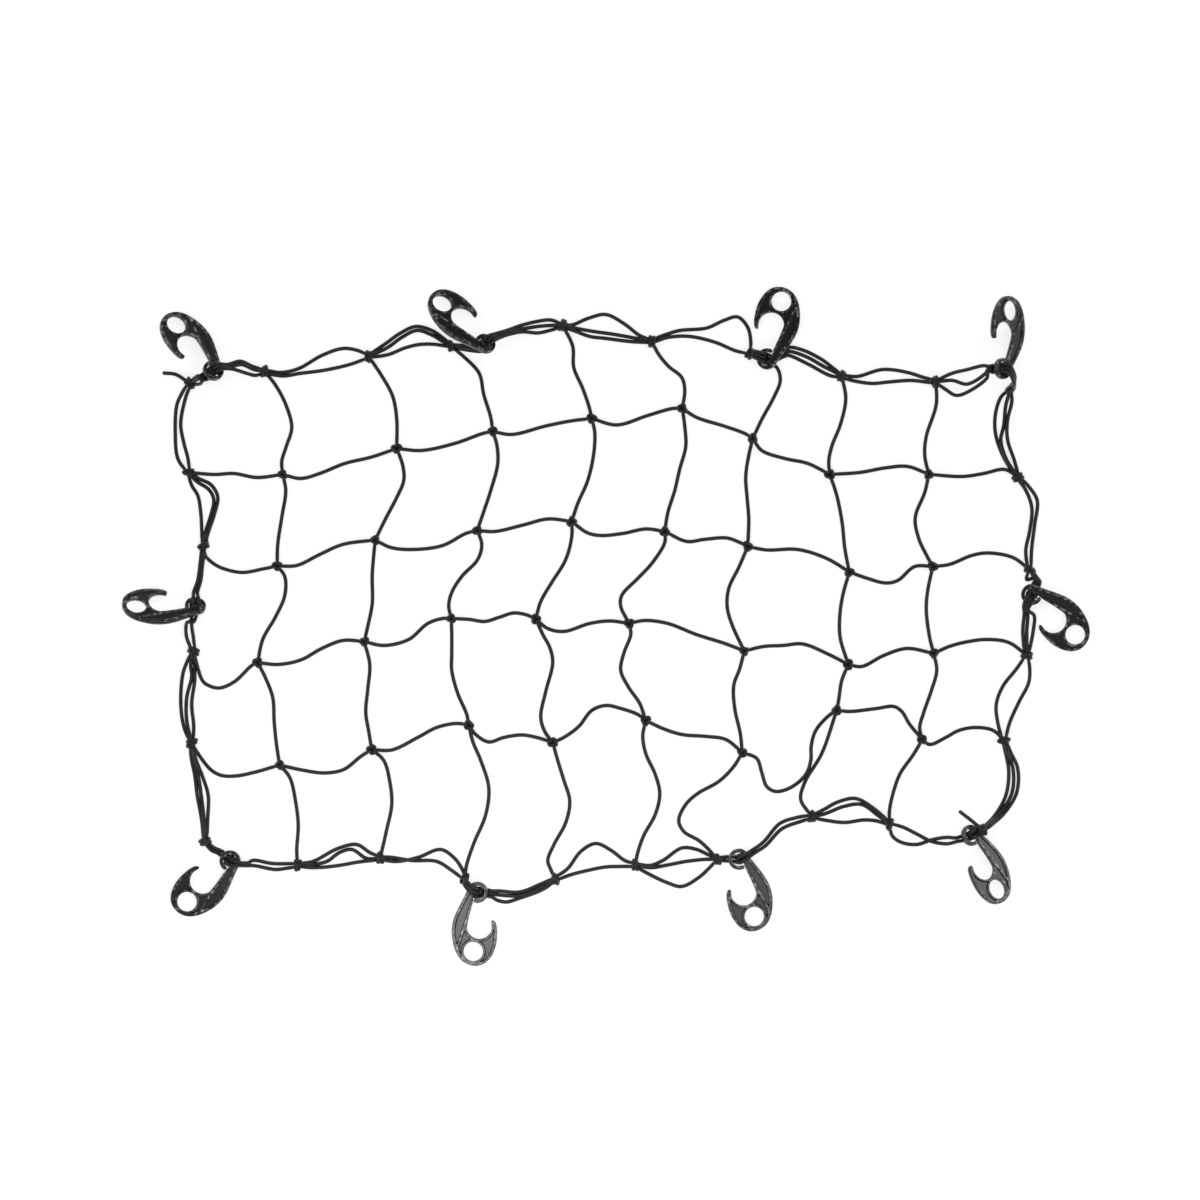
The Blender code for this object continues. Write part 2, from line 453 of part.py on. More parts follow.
def threading(hook, sideways):
    """Stations of a strand through a hook's eye, in the order in which it meets them."""
    turn, enters, over, lean, back = hook[3], *hook[6:]
    pose = hook_pose(hook)
    reach = THREAD_REACH * over * turn
    stations = [
        (sideways + lean, EYE_OUTER + THREAD_ENTRY, reach),
        (sideways + lean * LEAN_KEPT, EYE_MIDDLE + EYE_RUN, reach * REACH_INSIDE),
        (sideways, EYE_MIDDLE, 0),
        (sideways, EYE_MIDDLE - EYE_RUN, -reach * REACH_AT_SHANK),
    ]
    if back:
        stations.append((sideways + back[0], back[1], -reach))
    placed = [pose @ Vector((u * MM, v * MM, w)) for u, v, w in stations]
    return placed if enters == "mouth" else placed[::-1]


# ---- objects --------------------------------------------------------------------------------------------
def material(name, colour, roughness):
    made = bpy.data.materials.new(name)
    made.use_nodes = True
    shader = made.node_tree.nodes["Principled BSDF"]
    shader.inputs["Base Color"].default_value = (*colour, 1)
    shader.inputs["Roughness"].default_value = roughness
    return made


def add_object(name, data, finish):
    made = bpy.data.objects.new(name, data)
    bpy.context.scene.collection.objects.link(made)
    made.data.materials.append(finish)
    return made


def finished_mesh(name, mesh):
    data = bpy.data.meshes.new(name)
    mesh.to_mesh(data)
    mesh.free()
    return data


def floor_stations(places):
    return [grid_point(x, y, CORD_WIDTH / 2) for x, y in places]


def coming_down(hook_side, places, knot):
    """Stations from a hook to a knot, sloping down to the floor, more steeply where the way is short."""
    way = [hook_side, *floor_stations(places), knot_middle(*knot)]
    runs = [0]
    for before, here in zip(way, way[1:]):
        runs.append(runs[-1] + (here.xy - before.xy).length)
    slope = max(DESCENT, (hook_side.z - way[-1].z) / runs[-1])
    for station, run in zip(way[1:-1], runs[1:]):
        station.z = max(station.z, hook_side.z - slope * run)
    return way[1:-1]


def mesh_cord_routes():
    """Every cord of the mesh, stopped short of the border's knots."""
    routes = []
    spans = [(row, column, (row, column + 1), places) for row, column, places in CORDS_ACROSS]
    spans += [(row, column, (row + 1, column), places) for row, column, places in CORDS_DOWN]
    for row, column, reached, places in spans:
        start, end = knot_middle(row, column), knot_middle(*reached)
        route = smooth_route([start, *floor_stations(places), end])
        route = stopped_short(stopped_short(route, (row, column)), reached)
        routes.append(thinned(route))
    return routes


def gripped(bunch, knot, which):
    """Where each strand of a bunch ends in a knot: side by side, in the order in which they arrive."""
    middle = knot_middle(*knot)
    arrivals = [stations[which] - middle for stations in bunch]
    toward = sum(arrivals, Vector())
    toward.z = 0
    toward.normalize()
    side = Vector((-toward.y, toward.x, 0))
    order = sorted(range(len(bunch)), key=lambda strand: arrivals[strand].dot(side))
    ends = {}
    for strand, (across, up) in zip(order, GRIPS[len(bunch)]):
        ends[strand] = middle + toward * GRIP_PLACE + side * across * MM + Vector((0, 0, up * MM))
    return ends


def laid_over(route, laid):
    """The route, lifted where it would run through strands laid before it."""
    aside, above = LAID_OVER
    lifted = []
    for point in route:
        lift = 0
        for other in laid:
            apart = (other.xy - point.xy).length
            if apart < aside:
                lift = max(lift, other.z + above * math.sqrt(1 - (apart / aside) ** 2) - point.z)
        from_knot = min((point - route[0]).length, (point - route[-1]).length)
        lifted.append(point + Vector((0, 0, lift * min(1, from_knot / LAID_RAMP))))
    return lifted


def border_routes():
    """Every strand of the border, those through the hooks, and the two cut ends."""
    hooks = {hook[0]: hook for hook in HOOKS}
    loose, threaded = {}, {}
    for start, places, end in BORDER_STRANDS:
        loose.setdefault((start, end), []).append(floor_stations(places))
    for start, before, name, sideways, after, end in THREADED_STRANDS:
        through = threading(hooks[name], sideways)
        coming = coming_down(through[0], before[::-1], start)[::-1]
        stations = [*coming, *through, *coming_down(through[-1], after, end)]
        threaded.setdefault((start, end), []).append(stations)
    routes = []
    for (start, end), bunch in [*loose.items(), *threaded.items()]:
        first, last = gripped(bunch, start, 0), gripped(bunch, end, -1)
        laid = []
        for strand, stations in enumerate(bunch):
            route = smooth_route([first[strand], *stations, last[strand]])
            if (start, end) in loose:
                route = laid_over(route, laid)
                laid += route
            routes.append(thinned(route))
    for start, places in FREE_ENDS:
        stations = [grid_point(x, y, height * MM) for x, y, height in places]
        routes.append(thinned(smooth_route([knot_middle(*start), *stations])))
    return routes


def keep_largest_piece(net):
    """Applies the net's modifiers and drops the slivers that a union leaves where strands touch."""
    bpy.context.view_layer.update()
    applied = bpy.data.meshes.new_from_object(net.evaluated_get(bpy.context.evaluated_depsgraph_get()))
    mesh = bmesh.new()
    mesh.from_mesh(applied)
    bmesh.ops.triangulate(mesh, faces=mesh.faces[:])
    waiting, pieces = set(mesh.faces), []
    while waiting:
        piece, front = [], [waiting.pop()]
        while front:
            face = front.pop()
            piece.append(face)
            simple = [edge for edge in face.edges if len(edge.link_faces) == 2]
            near = {other for edge in simple for other in edge.link_faces} & waiting
            waiting -= near
            front += near
        pieces.append(piece)
    pieces.sort(key=len)
    bmesh.ops.delete(mesh, geom=[face for piece in pieces[:-1] for face in piece], context="FACES")
    net.modifiers.clear()
    mesh.to_mesh(net.data)
    mesh.free()


def knotted_net(name, routes, knots, finish):
    """One solid of cords and the knots that hold them."""
    cords = bpy.data.collections.new(f"{name}_cords")
    cords.hide_render = True
    bpy.context.scene.collection.children.link(cords)
    lumps = bmesh.new()
    for row, column in knots:
        add_knot(lumps, row, column)
    net = add_object(name, finished_mesh(name, lumps), finish)
    for number, route in enumerate(routes):
        tube = bmesh.new()
        add_tube(tube, route)
        cords.objects.link(bpy.data.objects.new(f"{name}_{number}", finished_mesh(f"{name}_{number}", tube)))
    modifier = net.modifiers.new("cords", "BOOLEAN")
    modifier.operation = "UNION"
    modifier.solver = "MANIFOLD"
    modifier.operand_type = "COLLECTION"
    modifier.collection = cords
    keep_largest_piece(net)
    for helper in list(cords.objects):
        bpy.data.objects.remove(helper)
    return net


def build():
    for old in list(bpy.data.objects):
        bpy.data.objects.remove(old)
    cord = material("black_braided_cord", (0.012, 0.012, 0.013), 0.75)
    plastic = material("black_moulded_plastic", (0.018, 0.018, 0.019), 0.42)
    places = [(row, column) for row in range(LAST_ROW + 1) for column in range(LAST_COLUMN + 1)]
    inner = [place for place in places if not on_border(*place)]
    border = [place for place in places if on_border(*place)]
    mesh = knotted_net("net_mesh", mesh_cord_routes(), inner, cord)
    mesh.modifiers.new("facets", "DECIMATE").ratio = FACETS_KEPT
    knotted_net("border_cord", border_routes(), border, cord)
    shape = hook_mesh()
    shape.materials.append(plastic)
    for hook in HOOKS:
        placed = bpy.data.objects.new(hook[0], shape)
        bpy.context.scene.collection.objects.link(placed)
        placed.matrix_world = hook_pose(hook)


build()
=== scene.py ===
"""Looks of the elastic luggage net: braided cords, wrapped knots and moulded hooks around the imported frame.

Metres, +Z up. Routes are placed on the laying grid of the part, x to the right and y down.
"""

import math
import random

import bmesh
import bpy
from mathutils import Matrix, Vector
from mathutils.geometry import tessellate_polygon


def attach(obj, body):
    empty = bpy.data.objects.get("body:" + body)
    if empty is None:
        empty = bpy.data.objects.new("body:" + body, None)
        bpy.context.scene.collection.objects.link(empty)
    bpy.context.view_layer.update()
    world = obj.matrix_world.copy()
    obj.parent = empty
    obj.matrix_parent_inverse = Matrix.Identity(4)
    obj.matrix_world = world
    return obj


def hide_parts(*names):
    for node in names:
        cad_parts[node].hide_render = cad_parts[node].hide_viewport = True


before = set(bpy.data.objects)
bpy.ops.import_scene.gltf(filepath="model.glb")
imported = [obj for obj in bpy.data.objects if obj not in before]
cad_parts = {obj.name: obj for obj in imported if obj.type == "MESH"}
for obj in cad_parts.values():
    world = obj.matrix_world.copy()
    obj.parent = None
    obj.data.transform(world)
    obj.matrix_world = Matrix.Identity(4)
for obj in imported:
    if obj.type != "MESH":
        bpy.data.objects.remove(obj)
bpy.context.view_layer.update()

# ---- driving dimensions, as in the part --------------------------------------------------------------
MM = 0.001
GRID = 0.65 * MM
GRID_ORIGIN = (606.5, 625.6)
ROUTE_STEPS = 8
KNOT_HEIGHT = 2.7 * MM
GRIP_PLACE = 0.8 * MM
LAID_OVER = (2.45 * MM, 2.35 * MM)   # a little more than the part's: the cord here has its full width
LAID_RAMP = 6.0 * MM
GRIPS = {
    1: ((0.0, 0.0),),
    2: ((-1.05, 0.0), (1.05, 0.0)),
    3: ((-1.05, -0.8), (0.0, 1.2), (1.05, -0.8)),
}
HOOK_THICKNESS = 3.2 * MM
THREAD_REACH = 4.0 * MM
THREAD_ENTRY = 1.8
LEAN_KEPT = 0.25
REACH_INSIDE = 0.95
REACH_AT_SHANK = 1.1
DESCENT = 0.6

# ---- the looks' own dimensions -------------------------------------------------------------------------
CORD_RADIUS = 1.25 * MM
TIGHT_RADIUS = 1.05 * MM         # where a knot squeezes the cord
KNOT_REACH = 4.5 * MM            # how far from a knot the cord has its common size again
EYE_RADII = {2: 1.6 * MM, 3: 1.3 * MM}   # slack cord in an eye, by the number of strands there
EYE_REACH = 6.0 * MM             # how far from the eye's middle the cord has its common size again
EYE_SPREAD = 1.65                # how much wider apart than the part's the strands lie in an eye
EXIT_SPREAD = 1.28               # and where they enter and leave it
EYE_LUMP = 3.0 * MM              # cord bunched in an eye, partly standing in for the shade in its bore: from its middle to the middle of the cord
OPEN_EYES = ("hook_9", "hook_10")   # less of it there, so that the floor shows beside it
KNOT_CORD = 1.2 * MM             # radius of the cord that a knot is made of
CORD_SIDES = 12
BRAID_STEP = 1.3                 # mm along the cord for one diamond of the braid
BRAID_ROUND = 8                  # diamonds round the cord

WRAP_HALF = (2.65, 2.1, 1.75)    # a border knot's turns, to the middle of the cord: across, up, along (mm)
WRAP_TURNS = 2
WRAP_BACK = 1.0                  # the share of a turn that crosses back over the others
WRAP_SWELL = 0.28                # how much wider that turn is
WRAP_STEPS = 10
LUMP_SIZE = 2.55 * MM            # a mesh knot, from its middle to the middle of the cord in its lobes
LUMP_LIFT = 0.50                 # how far the cord goes up and down there, as a share of the size
LUMP_STEPS = 54

# ---- the knots, six rows of ten, as (x, y) on the laying grid ----------------------------------------
KNOTS = (
    ((190, 383), (265, 371), (369, 356), (451, 345.5), (563, 325),
     (652, 341), (750, 353), (842, 376), (936, 381.5), (1010.5, 389)),
    ((189, 472), (283, 474), (397, 448), (493, 431), (592, 418),
     (682.5, 408), (753, 438), (830, 474), (929, 474), (1018, 477)),
    ((204, 545), (277.5, 565.5), (375.5, 539.5), (477.5, 530), (572, 521),
     (665, 531), (748, 546), (849.5, 571.5), (933, 566), (1029.5, 569)),
    ((194, 650.5), (258, 662), (364.5, 641), (451.5, 618), (536, 618.5),
     (629.5, 623), (744.5, 650.5), (848.5, 664), (934, 653), (1027, 655)),
    ((192, 742), (280, 764.5), (372, 749), (469, 724.5), (553, 742),
     (646, 720), (742.5, 752), (837, 709.5), (922.5, 739), (1004, 740)),
    ((205.5, 841), (298, 864.5), (380.5, 857.5), (465, 878), (555.5, 878.5),
     (635.5, 864.5), (717, 858.5), (812, 816), (889.5, 823.5), (982, 829)),
)
LAST_ROW = len(KNOTS) - 1
LAST_COLUMN = len(KNOTS[0]) - 1
PROPPED_KNOTS = {(5, 9): 11.5 * MM}   # this one leans on the edge of a hook, higher than the rest

# ---- the mesh: a cord from each knot to the next across, and to the next down ------------------------
# row, column of the knot it leaves, then the places it passes
CORDS_ACROSS = (
    (1, 0, ((215, 474), (234, 473), (257, 477))),
    (1, 1, ((301, 478), (320, 473), (345, 463), (372, 456.5))),
    (1, 2, ((422, 450), (456.5, 442.5), (483, 433))),
    (1, 3, ((512, 434), (546, 425.5), (571, 420.5))),
    (1, 4, ((617, 424.5), (648, 415), (673, 408))),
    (1, 5, ((697, 417), (724, 425.5), (745, 433))),
    (1, 6, ((762, 450), (785, 458), (808, 463))),
    (1, 7, ((860, 472), (885, 467.5), (908, 466))),
    (1, 8, ((963, 476), (984, 473), (1005, 469))),
    (2, 0, ((206, 555.5), (213, 562.5), (222, 567.5), (242, 572), (263, 568.5))),
    (2, 1, ((297, 565), (320, 554), (343, 544))),
    (2, 2, ((391, 547), (414, 549), (443, 545), (466, 533))),
    (2, 3, ((495, 531), (523.5, 524.5), (548, 518.5))),
    (2, 4, ((587, 532), (600, 535), (623, 533), (646, 528.5))),
    (2, 5, ((687, 541), (704, 539), (727, 537.5), (740, 542))),
    (2, 6, ((767, 549.5), (798, 549), (827, 558))),
    (2, 7, ((865, 577), (886, 582.5), (898, 580), (915, 566))),
    (2, 8, ((949.5, 564), (972, 555), (988, 552.5), (1013, 557))),
    (3, 0, ((203, 680.5), (210, 685.5), (220, 687.5), (235, 681), (252, 665))),
    (3, 1, ((278, 664), (301, 659.5), (322, 648), (343, 640))),
    (3, 2, ((384, 645), (409, 639), (428, 623), (443, 618))),
    (3, 3, ((470, 619), (485, 621), (499, 617), (514, 612.5), (527, 614.5))),
    (3, 4, ((548, 628), (564, 631), (590, 623), (610, 620.5))),
    (3, 5, ((645, 620), (668, 623), (696.5, 634), (725, 643))),
    (3, 6, ((764, 646), (783, 645), (803, 643.5), (827, 653))),
    (3, 7, ((862, 666), (884, 655), (907, 648))),
    (3, 8, ((949.5, 646), (969, 641), (988, 639), (1009, 642))),
    (4, 0, ((201, 757), (212, 770), (222, 775), (236, 775.5), (254, 772))),
    (4, 1, ((302, 769.5), (325, 772.5), (344, 769), (361, 756))),
    (4, 2, ((392, 749.5), (418, 737), (437, 727), (456.5, 723))),
    (4, 3, ((476, 734), (489, 741.5), (504, 737), (522, 734.5), (537, 737))),
    (4, 4, ((564, 737), (579, 726), (592, 710), (606, 705), (621, 708), (638, 714))),
    (4, 5, ((663, 728), (682, 734), (707, 736), (726, 739))),
    (4, 6, ((757, 758), (762, 772), (767, 786), (776, 791), (791, 787), (806, 774),
            (811, 760), (811.5, 745), (816, 730), (828, 716))),
    (4, 7, ((849, 711), (877, 708), (894, 706), (902, 711), (910, 724))),
    (4, 8, ((930, 744), (946, 737), (959, 730), (976, 727), (993.5, 730))),
)
CORDS_DOWN = (
    (0, 1, ((276, 385), (286, 404), (292, 427), (286.5, 446), (282, 461))),
    (1, 1, ((286, 490), (282, 517), (278, 544))),
    (2, 1, ((285, 576), (285, 595), (276, 616), (263, 639))),
    (3, 1, ((266, 678), (273, 697), (274.5, 722), (277, 746))),
    (4, 1, ((290, 777), (296, 802), (298.5, 825), (297, 850))),
    (0, 2, ((383, 377), (393, 396), (397, 419))),
    (1, 2, ((403, 465), (404, 480), (397, 497), (386, 518))),
    (2, 2, ((372.5, 574), (372.5, 603), (368, 626))),
    (3, 2, ((370, 664), (368, 689), (366, 712), (369, 731))),
    (4, 2, ((384, 760), (390, 781), (392, 804), (387, 829))),
    (0, 3, ((466, 358), (479.5, 373), (484, 394), (491, 417))),
    (1, 3, ((497, 444), (498, 463), (491, 490), (483, 514))),
    (2, 3, ((482, 544), (478, 559), (462, 576), (452, 592), (449, 605))),
    (3, 3, ((452, 634), (452, 653), (452, 670), (458, 693), (467, 714))),
    (4, 3, ((473, 741), (481, 760), (489, 787), (486, 814), (474, 843), (467, 864))),
    (0, 4, ((573, 346), (574, 367), (583, 388), (589.5, 407))),
    (1, 4, ((595, 432), (594, 453), (588, 480), (578, 503))),
    (2, 4, ((572, 536), (566, 559), (552, 582), (541, 601))),
    (3, 4, ((543, 634), (550, 647), (553, 662), (546, 691), (541, 716), (544.5, 730))),
    (4, 4, ((558, 760), (564, 779.5), (570, 800.5), (566, 822), (554, 844.5), (548, 860), (551, 869))),
    (0, 5, ((659, 354), (669, 366), (682, 377), (685, 390))),
    (1, 5, ((685, 426), (686, 446), (680, 468.5), (675, 490), (668, 512.5))),
    (2, 5, ((665, 542), (652, 563), (638, 578), (622, 595), (621, 606))),
    (3, 5, ((631, 634), (624, 653), (621, 670), (629, 687), (640, 703))),
    (4, 5, ((643, 735.5), (646, 753), (655.5, 774), (660, 793), (655.5, 814), (644, 835), (638, 852))),
    (0, 6, ((766, 361), (777, 367), (780.5, 380), (774, 397), (762, 419))),
    (1, 6, ((749, 455), (746, 476), (747.5, 499), (749, 518))),
    (2, 6, ((739, 567), (729, 588), (727.5, 607), (733, 626))),
    (3, 6, ((740, 668), (734, 685), (735, 708), (740.5, 733))),
    (4, 6, ((734, 766), (719, 781), (698, 793), (686, 804), (679, 820), (684, 831), (699, 840), (709, 849))),
    (0, 7, ((846, 398), (841, 423), (832, 446), (829, 461))),
    (1, 7, ((837, 495), (842.5, 523), (845, 547.5))),
    (2, 7, ((843, 595), (840, 616), (840.5, 637.5))),
    (3, 7, ((842, 680), (839, 699))),
    (4, 7, ((822, 753), (805, 782), (801, 799))),
    (0, 8, ((936.5, 404), (926.5, 436), (925, 455))),
    (1, 8, ((925, 492), (915.5, 517), (919, 538), (928, 557))),
    (2, 8, ((928, 590), (926.5, 609), (930, 637.5))),
    (3, 8, ((937, 670), (932, 689), (924, 712), (920, 727))),
    (4, 8, ((913, 755), (901, 772), (895, 787), (890, 808))),
)

# ---- the border: two or three loose strands from each border knot to the next -------------------------
# knot it leaves, places on the way, knot it reaches
BORDER_STRANDS = (
    ((0, 1), ((281, 372), (299, 368), (322, 355), (343, 348), (358, 350)), (0, 2)),
    ((0, 1), ((283, 375.5), (300, 373), (326, 369.5), (350, 364)), (0, 2)),
    ((0, 2), ((386, 343), (400, 333), (416, 326), (432, 330), (444, 338)), (0, 3)),
    ((0, 2), ((388, 347), (402, 337), (417, 330), (431, 334), (443, 341)), (0, 3)),
    ((0, 2), ((389, 354), (405, 347.5), (420, 344), (436, 344)), (0, 3)),
    ((0, 4), ((572, 324.5), (588, 318), (606, 314), (624, 323), (640, 335)), (0, 5)),
    ((0, 4), ((577, 328), (594, 331), (612, 333.5), (632, 337)), (0, 5)),
    ((0, 4), ((576, 331), (590, 336), (606, 338), (630, 341)), (0, 5)),
    ((0, 5), ((666, 334), (680, 330), (707, 327.5), (724, 320), (738, 316.5), (748, 327), (751, 341)),
     (0, 6)),
    ((0, 5), ((668, 337), (690, 336), (716, 342), (735, 350)), (0, 6)),
    ((0, 7), ((857, 376), (883, 369), (908, 372), (924, 377)), (0, 8)),
    ((0, 7), ((857, 381), (873, 383), (889, 381.5), (912, 380)), (0, 8)),
    ((0, 9), ((1001, 397), (995.5, 415), (996, 434.5), (1003.5, 456)), (1, 9)),
    ((0, 9), ((1006, 405), (1004, 425), (1001, 440), (1006, 458)), (1, 9)),
    ((0, 9), ((1012, 402), (1007.5, 421), (1008, 440), (1014, 458)), (1, 9)),
    ((1, 9), ((1025, 488), (1032, 507), (1030, 530), (1026, 550)), (2, 9)),
    ((1, 9), ((1029, 486), (1037.5, 500), (1035, 524), (1032, 548)), (2, 9)),
    ((3, 9), ((1017, 668), (1003, 686), (996.5, 704), (998, 722)), (4, 9)),
    ((3, 9), ((1030, 668), (1029, 682), (1019, 702), (1010, 722)), (4, 9)),
    ((4, 9), ((1006, 753), (1009, 772), (1006, 795), (995, 815)), (5, 9)),
    ((4, 9), ((1008, 752), (1013.5, 770), (1012, 793), (1000, 813)), (5, 9)),
    ((4, 9), ((1011, 752), (1018, 768), (1017, 792), (1005, 812)), (5, 9)),
    ((5, 8), ((877, 820.5), (864, 819.5), (845, 822), (827, 820)), (5, 7)),
    ((5, 8), ((877, 814), (862, 804), (844, 806), (826, 813)), (5, 7)),
    ((5, 8), ((874, 808), (856, 798), (838, 801.5), (824, 809)), (5, 7)),
    ((5, 6), ((708, 854), (697, 849), (682, 847.5), (663, 860), (650, 865)), (5, 5)),
    ((5, 6), ((704, 859), (686, 861), (668, 864.5), (652, 867)), (5, 5)),
    ((5, 6), ((709, 868), (699, 877), (682, 886), (667, 882), (648, 873)), (5, 5)),
    ((5, 5), ((625, 860), (611.5, 850), (596, 843), (581, 851), (568, 868)), (5, 4)),
    ((5, 5), ((621, 866), (606, 866.5), (590, 869.5), (572, 874)), (5, 4)),
    ((5, 3), ((462, 868), (455, 858), (441, 849), (418, 857), (397, 861)), (5, 2)),
    ((5, 3), ((452, 870), (437, 861), (413, 860), (393, 857)), (5, 2)),
    ((5, 2), ((370, 852), (357, 844), (338, 848), (313, 861)), (5, 1)),
    ((5, 2), ((367, 858), (352, 849), (340, 852), (327, 861), (313, 864)), (5, 1)),
    ((5, 2), ((359, 861.5), (339, 865), (319, 867)), (5, 1)),
    ((4, 0), ((191.5, 757), (195, 775), (197.5, 795), (202, 820)), (5, 0)),
    ((4, 0), ((194.5, 757), (198.5, 775), (201.5, 795), (204.5, 820)), (5, 0)),
    ((4, 0), ((196, 757), (202.5, 775), (208.5, 795), (208, 818)), (5, 0)),
    ((3, 0), ((187, 662), (183, 674), (181, 703), (184, 726)), (4, 0)),
    ((3, 0), ((191, 665), (192, 676), (187, 697), (187, 720)), (4, 0)),
    ((3, 0), ((195, 665), (195, 680), (192, 703), (194, 726)), (4, 0)),
    ((1, 0), ((192, 485), (198, 495), (201, 512), (202, 530)), (2, 0)),
    ((1, 0), ((197, 481), (209, 489), (214, 499), (211, 515), (206, 531)), (2, 0)),
    ((1, 0), ((199, 478), (211, 484), (218, 496), (215, 513), (209, 531)), (2, 0)),
    ((0, 0), ((182, 393), (177, 405), (175.5, 433), (178, 458)), (1, 0)),
    ((0, 0), ((186, 397), (181, 423), (184, 442), (188, 457)), (1, 0)),
)
# knot it leaves, places before the hook, hook, sideways place in its eye (mm), places after, knot it reaches
THREADED_STRANDS = (
    ((0, 0), ((199, 376),), "hook_1", 1.5, ((241, 361), (253, 366)), (0, 1)),
    ((0, 0), ((200, 379),), "hook_1", 0.0, ((243, 364.5), (254, 369)), (0, 1)),
    ((0, 0), ((202, 383.5),), "hook_1", -1.5, ((247, 373), (256, 375)), (0, 1)),
    ((0, 3), (), "hook_2", 1.5, ((508, 330), (521, 325), (537, 321), (551, 319.5)), (0, 4)),
    ((0, 3), (), "hook_2", 0.0, ((509, 332), (523, 328.5), (538, 326), (550, 325)), (0, 4)),
    ((0, 3), (), "hook_2", -1.5, ((509, 334.5), (523, 331.5), (538, 332.5), (550, 330)), (0, 4)),
    ((0, 6), (), "hook_3", 1.5, ((789, 347), (803, 349.5), (822, 359), (834, 368)), (0, 7)),
    ((0, 6), (), "hook_3", 0.0, ((789, 351), (806, 356), (824, 366), (834, 371)), (0, 7)),
    ((0, 6), (), "hook_3", -1.5, ((789, 355), (808, 363.5), (830, 375)), (0, 7)),
    ((0, 8), ((952, 373), (967, 369.5), (982, 366)), "hook_4", 1.5, (), (0, 9)),
    ((0, 8), ((952, 380), (967, 384), (984, 374)), "hook_4", 0.0, (), (0, 9)),
    ((0, 8), ((946, 389), (956, 395), (968, 391.5), (986, 378)), "hook_4", -1.5, (), (0, 9)),
    ((2, 0), ((200.5, 562), (198, 580)), "hook_5", 1.0, ((188, 622), (187, 636)), (3, 0)),
    ((2, 0), ((203, 562), (201, 580)), "hook_5", -1.0, ((193, 622), (194, 638)), (3, 0)),
    ((2, 9), ((1027, 579),), "hook_6", -1.5, ((1024, 612), (1023, 630), (1024, 645)), (3, 9)),
    ((2, 9), ((1036, 579),), "hook_6", 0.0, ((1027.5, 613), (1027, 630), (1027, 645)), (3, 9)),
    ((2, 9), ((1038.7, 579),), "hook_6", 1.5, ((1034, 615), (1033.5, 630), (1031, 644)), (3, 9)),
    ((5, 0), ((214, 847),), "hook_7", -1.0, ((254, 859.5), (273, 863)), (5, 1)),
    ((5, 0), ((212, 850),), "hook_7", 1.0, ((255, 865), (275, 869), (286, 868)), (5, 1)),
    ((5, 3), (), "hook_8", -1.5, ((500, 890.5), (520, 891.5), (541, 883.5)), (5, 4)),
    ((5, 3), (), "hook_8", 0.0, ((500, 894.5), (520, 895), (543, 886)), (5, 4)),
    ((5, 3), (), "hook_8", 1.5, ((498, 900), (507, 901.5), (519, 898), (543, 889)), (5, 4)),
    ((5, 6), (), "hook_9", -1.0, ((764, 841), (780, 823), (797, 817)), (5, 7)),
    ((5, 6), (), "hook_9", 1.0, ((766, 845), (782, 828.5), (801, 821)), (5, 7)),
    ((5, 8), ((893, 836), (902, 842), (917, 844), (933, 839), (947, 836.5)), "hook_10", -1.0, (), (5, 9)),
    ((5, 8), ((904, 827), (918, 834), (932, 841), (947, 843)), "hook_10", 1.0, (), (5, 9)),
)
# knot it leaves, then the places on the way to its cut end: x, y, height (mm)
FREE_ENDS = (
    ((0, 0), ((176, 374, 1.5), (163.5, 372.5, 1.15))),
    ((5, 9), ((972, 820.5, 9.0), (960, 811, 2.0))),
)

# ---- the hooks -----------------------------------------------------------------------------------------
# name, eye, head hole (grid), turn of the mouth seen from the eye (1 left, -1 right), roll that lifts the
# mouth (degrees), height of the eye (mm), side from which the strands come, whether they pass over (1) or
# under (-1) the curl, how far they lean along the hook as they cross the curl, and where they cross the
# back: along, across (mm), or None where they run straight on to their knot
HOOKS = (
    ("hook_1", (213.4, 369.6), (178, 326.4), 1, 33, 13.0, "mouth", -1, 1.0, (-4.5, -9.2)),
    ("hook_2", (484.6, 343.1), (443.3, 304.8), -1, -35, 14.0, "back", 1, -2.2, None),
    ("hook_3", (767.3, 358.5), (781.5, 301.3), 1, -4, 5.5, "mouth", 1, 0.6, (7.0, -10.8)),
    ("hook_4", (1001.5, 367.4), (1009.2, 312.2), 1, 42, 16.0, "mouth", -1, -2.3, (-6.0, -8.5)),
    ("hook_5", (197, 605.6), (137, 606), -1, -43, 6.1, "mouth", 1, -0.7, (3.0, -10.0)),
    ("hook_6", (1031, 593.5), (1075.8, 634.6), -1, -4, 5.6, "back", 1, 2.6, (-3.2, -9.6)),
    ("hook_7", (231.3, 859.6), (186.8, 901.6), -1, 3, 4.8, "mouth", -1, 1.5, (-6.5, -8.5)),
    ("hook_8", (477.8, 890.7), (473.5, 951.7), 1, 4, 5.0, "back", -1, 0.7, (-6.0, -8.0)),
    ("hook_9", (739, 858.1), (754.5, 916.3), -1, 3, 4.8, "mouth", -1, -2.2, (-2.6, -9.6)),
    ("hook_10", (970.1, 833.9), (996.4, 888.7), -1, 34, 9.0, "mouth", -1, -1.5, (0.5, -8.0)),
)

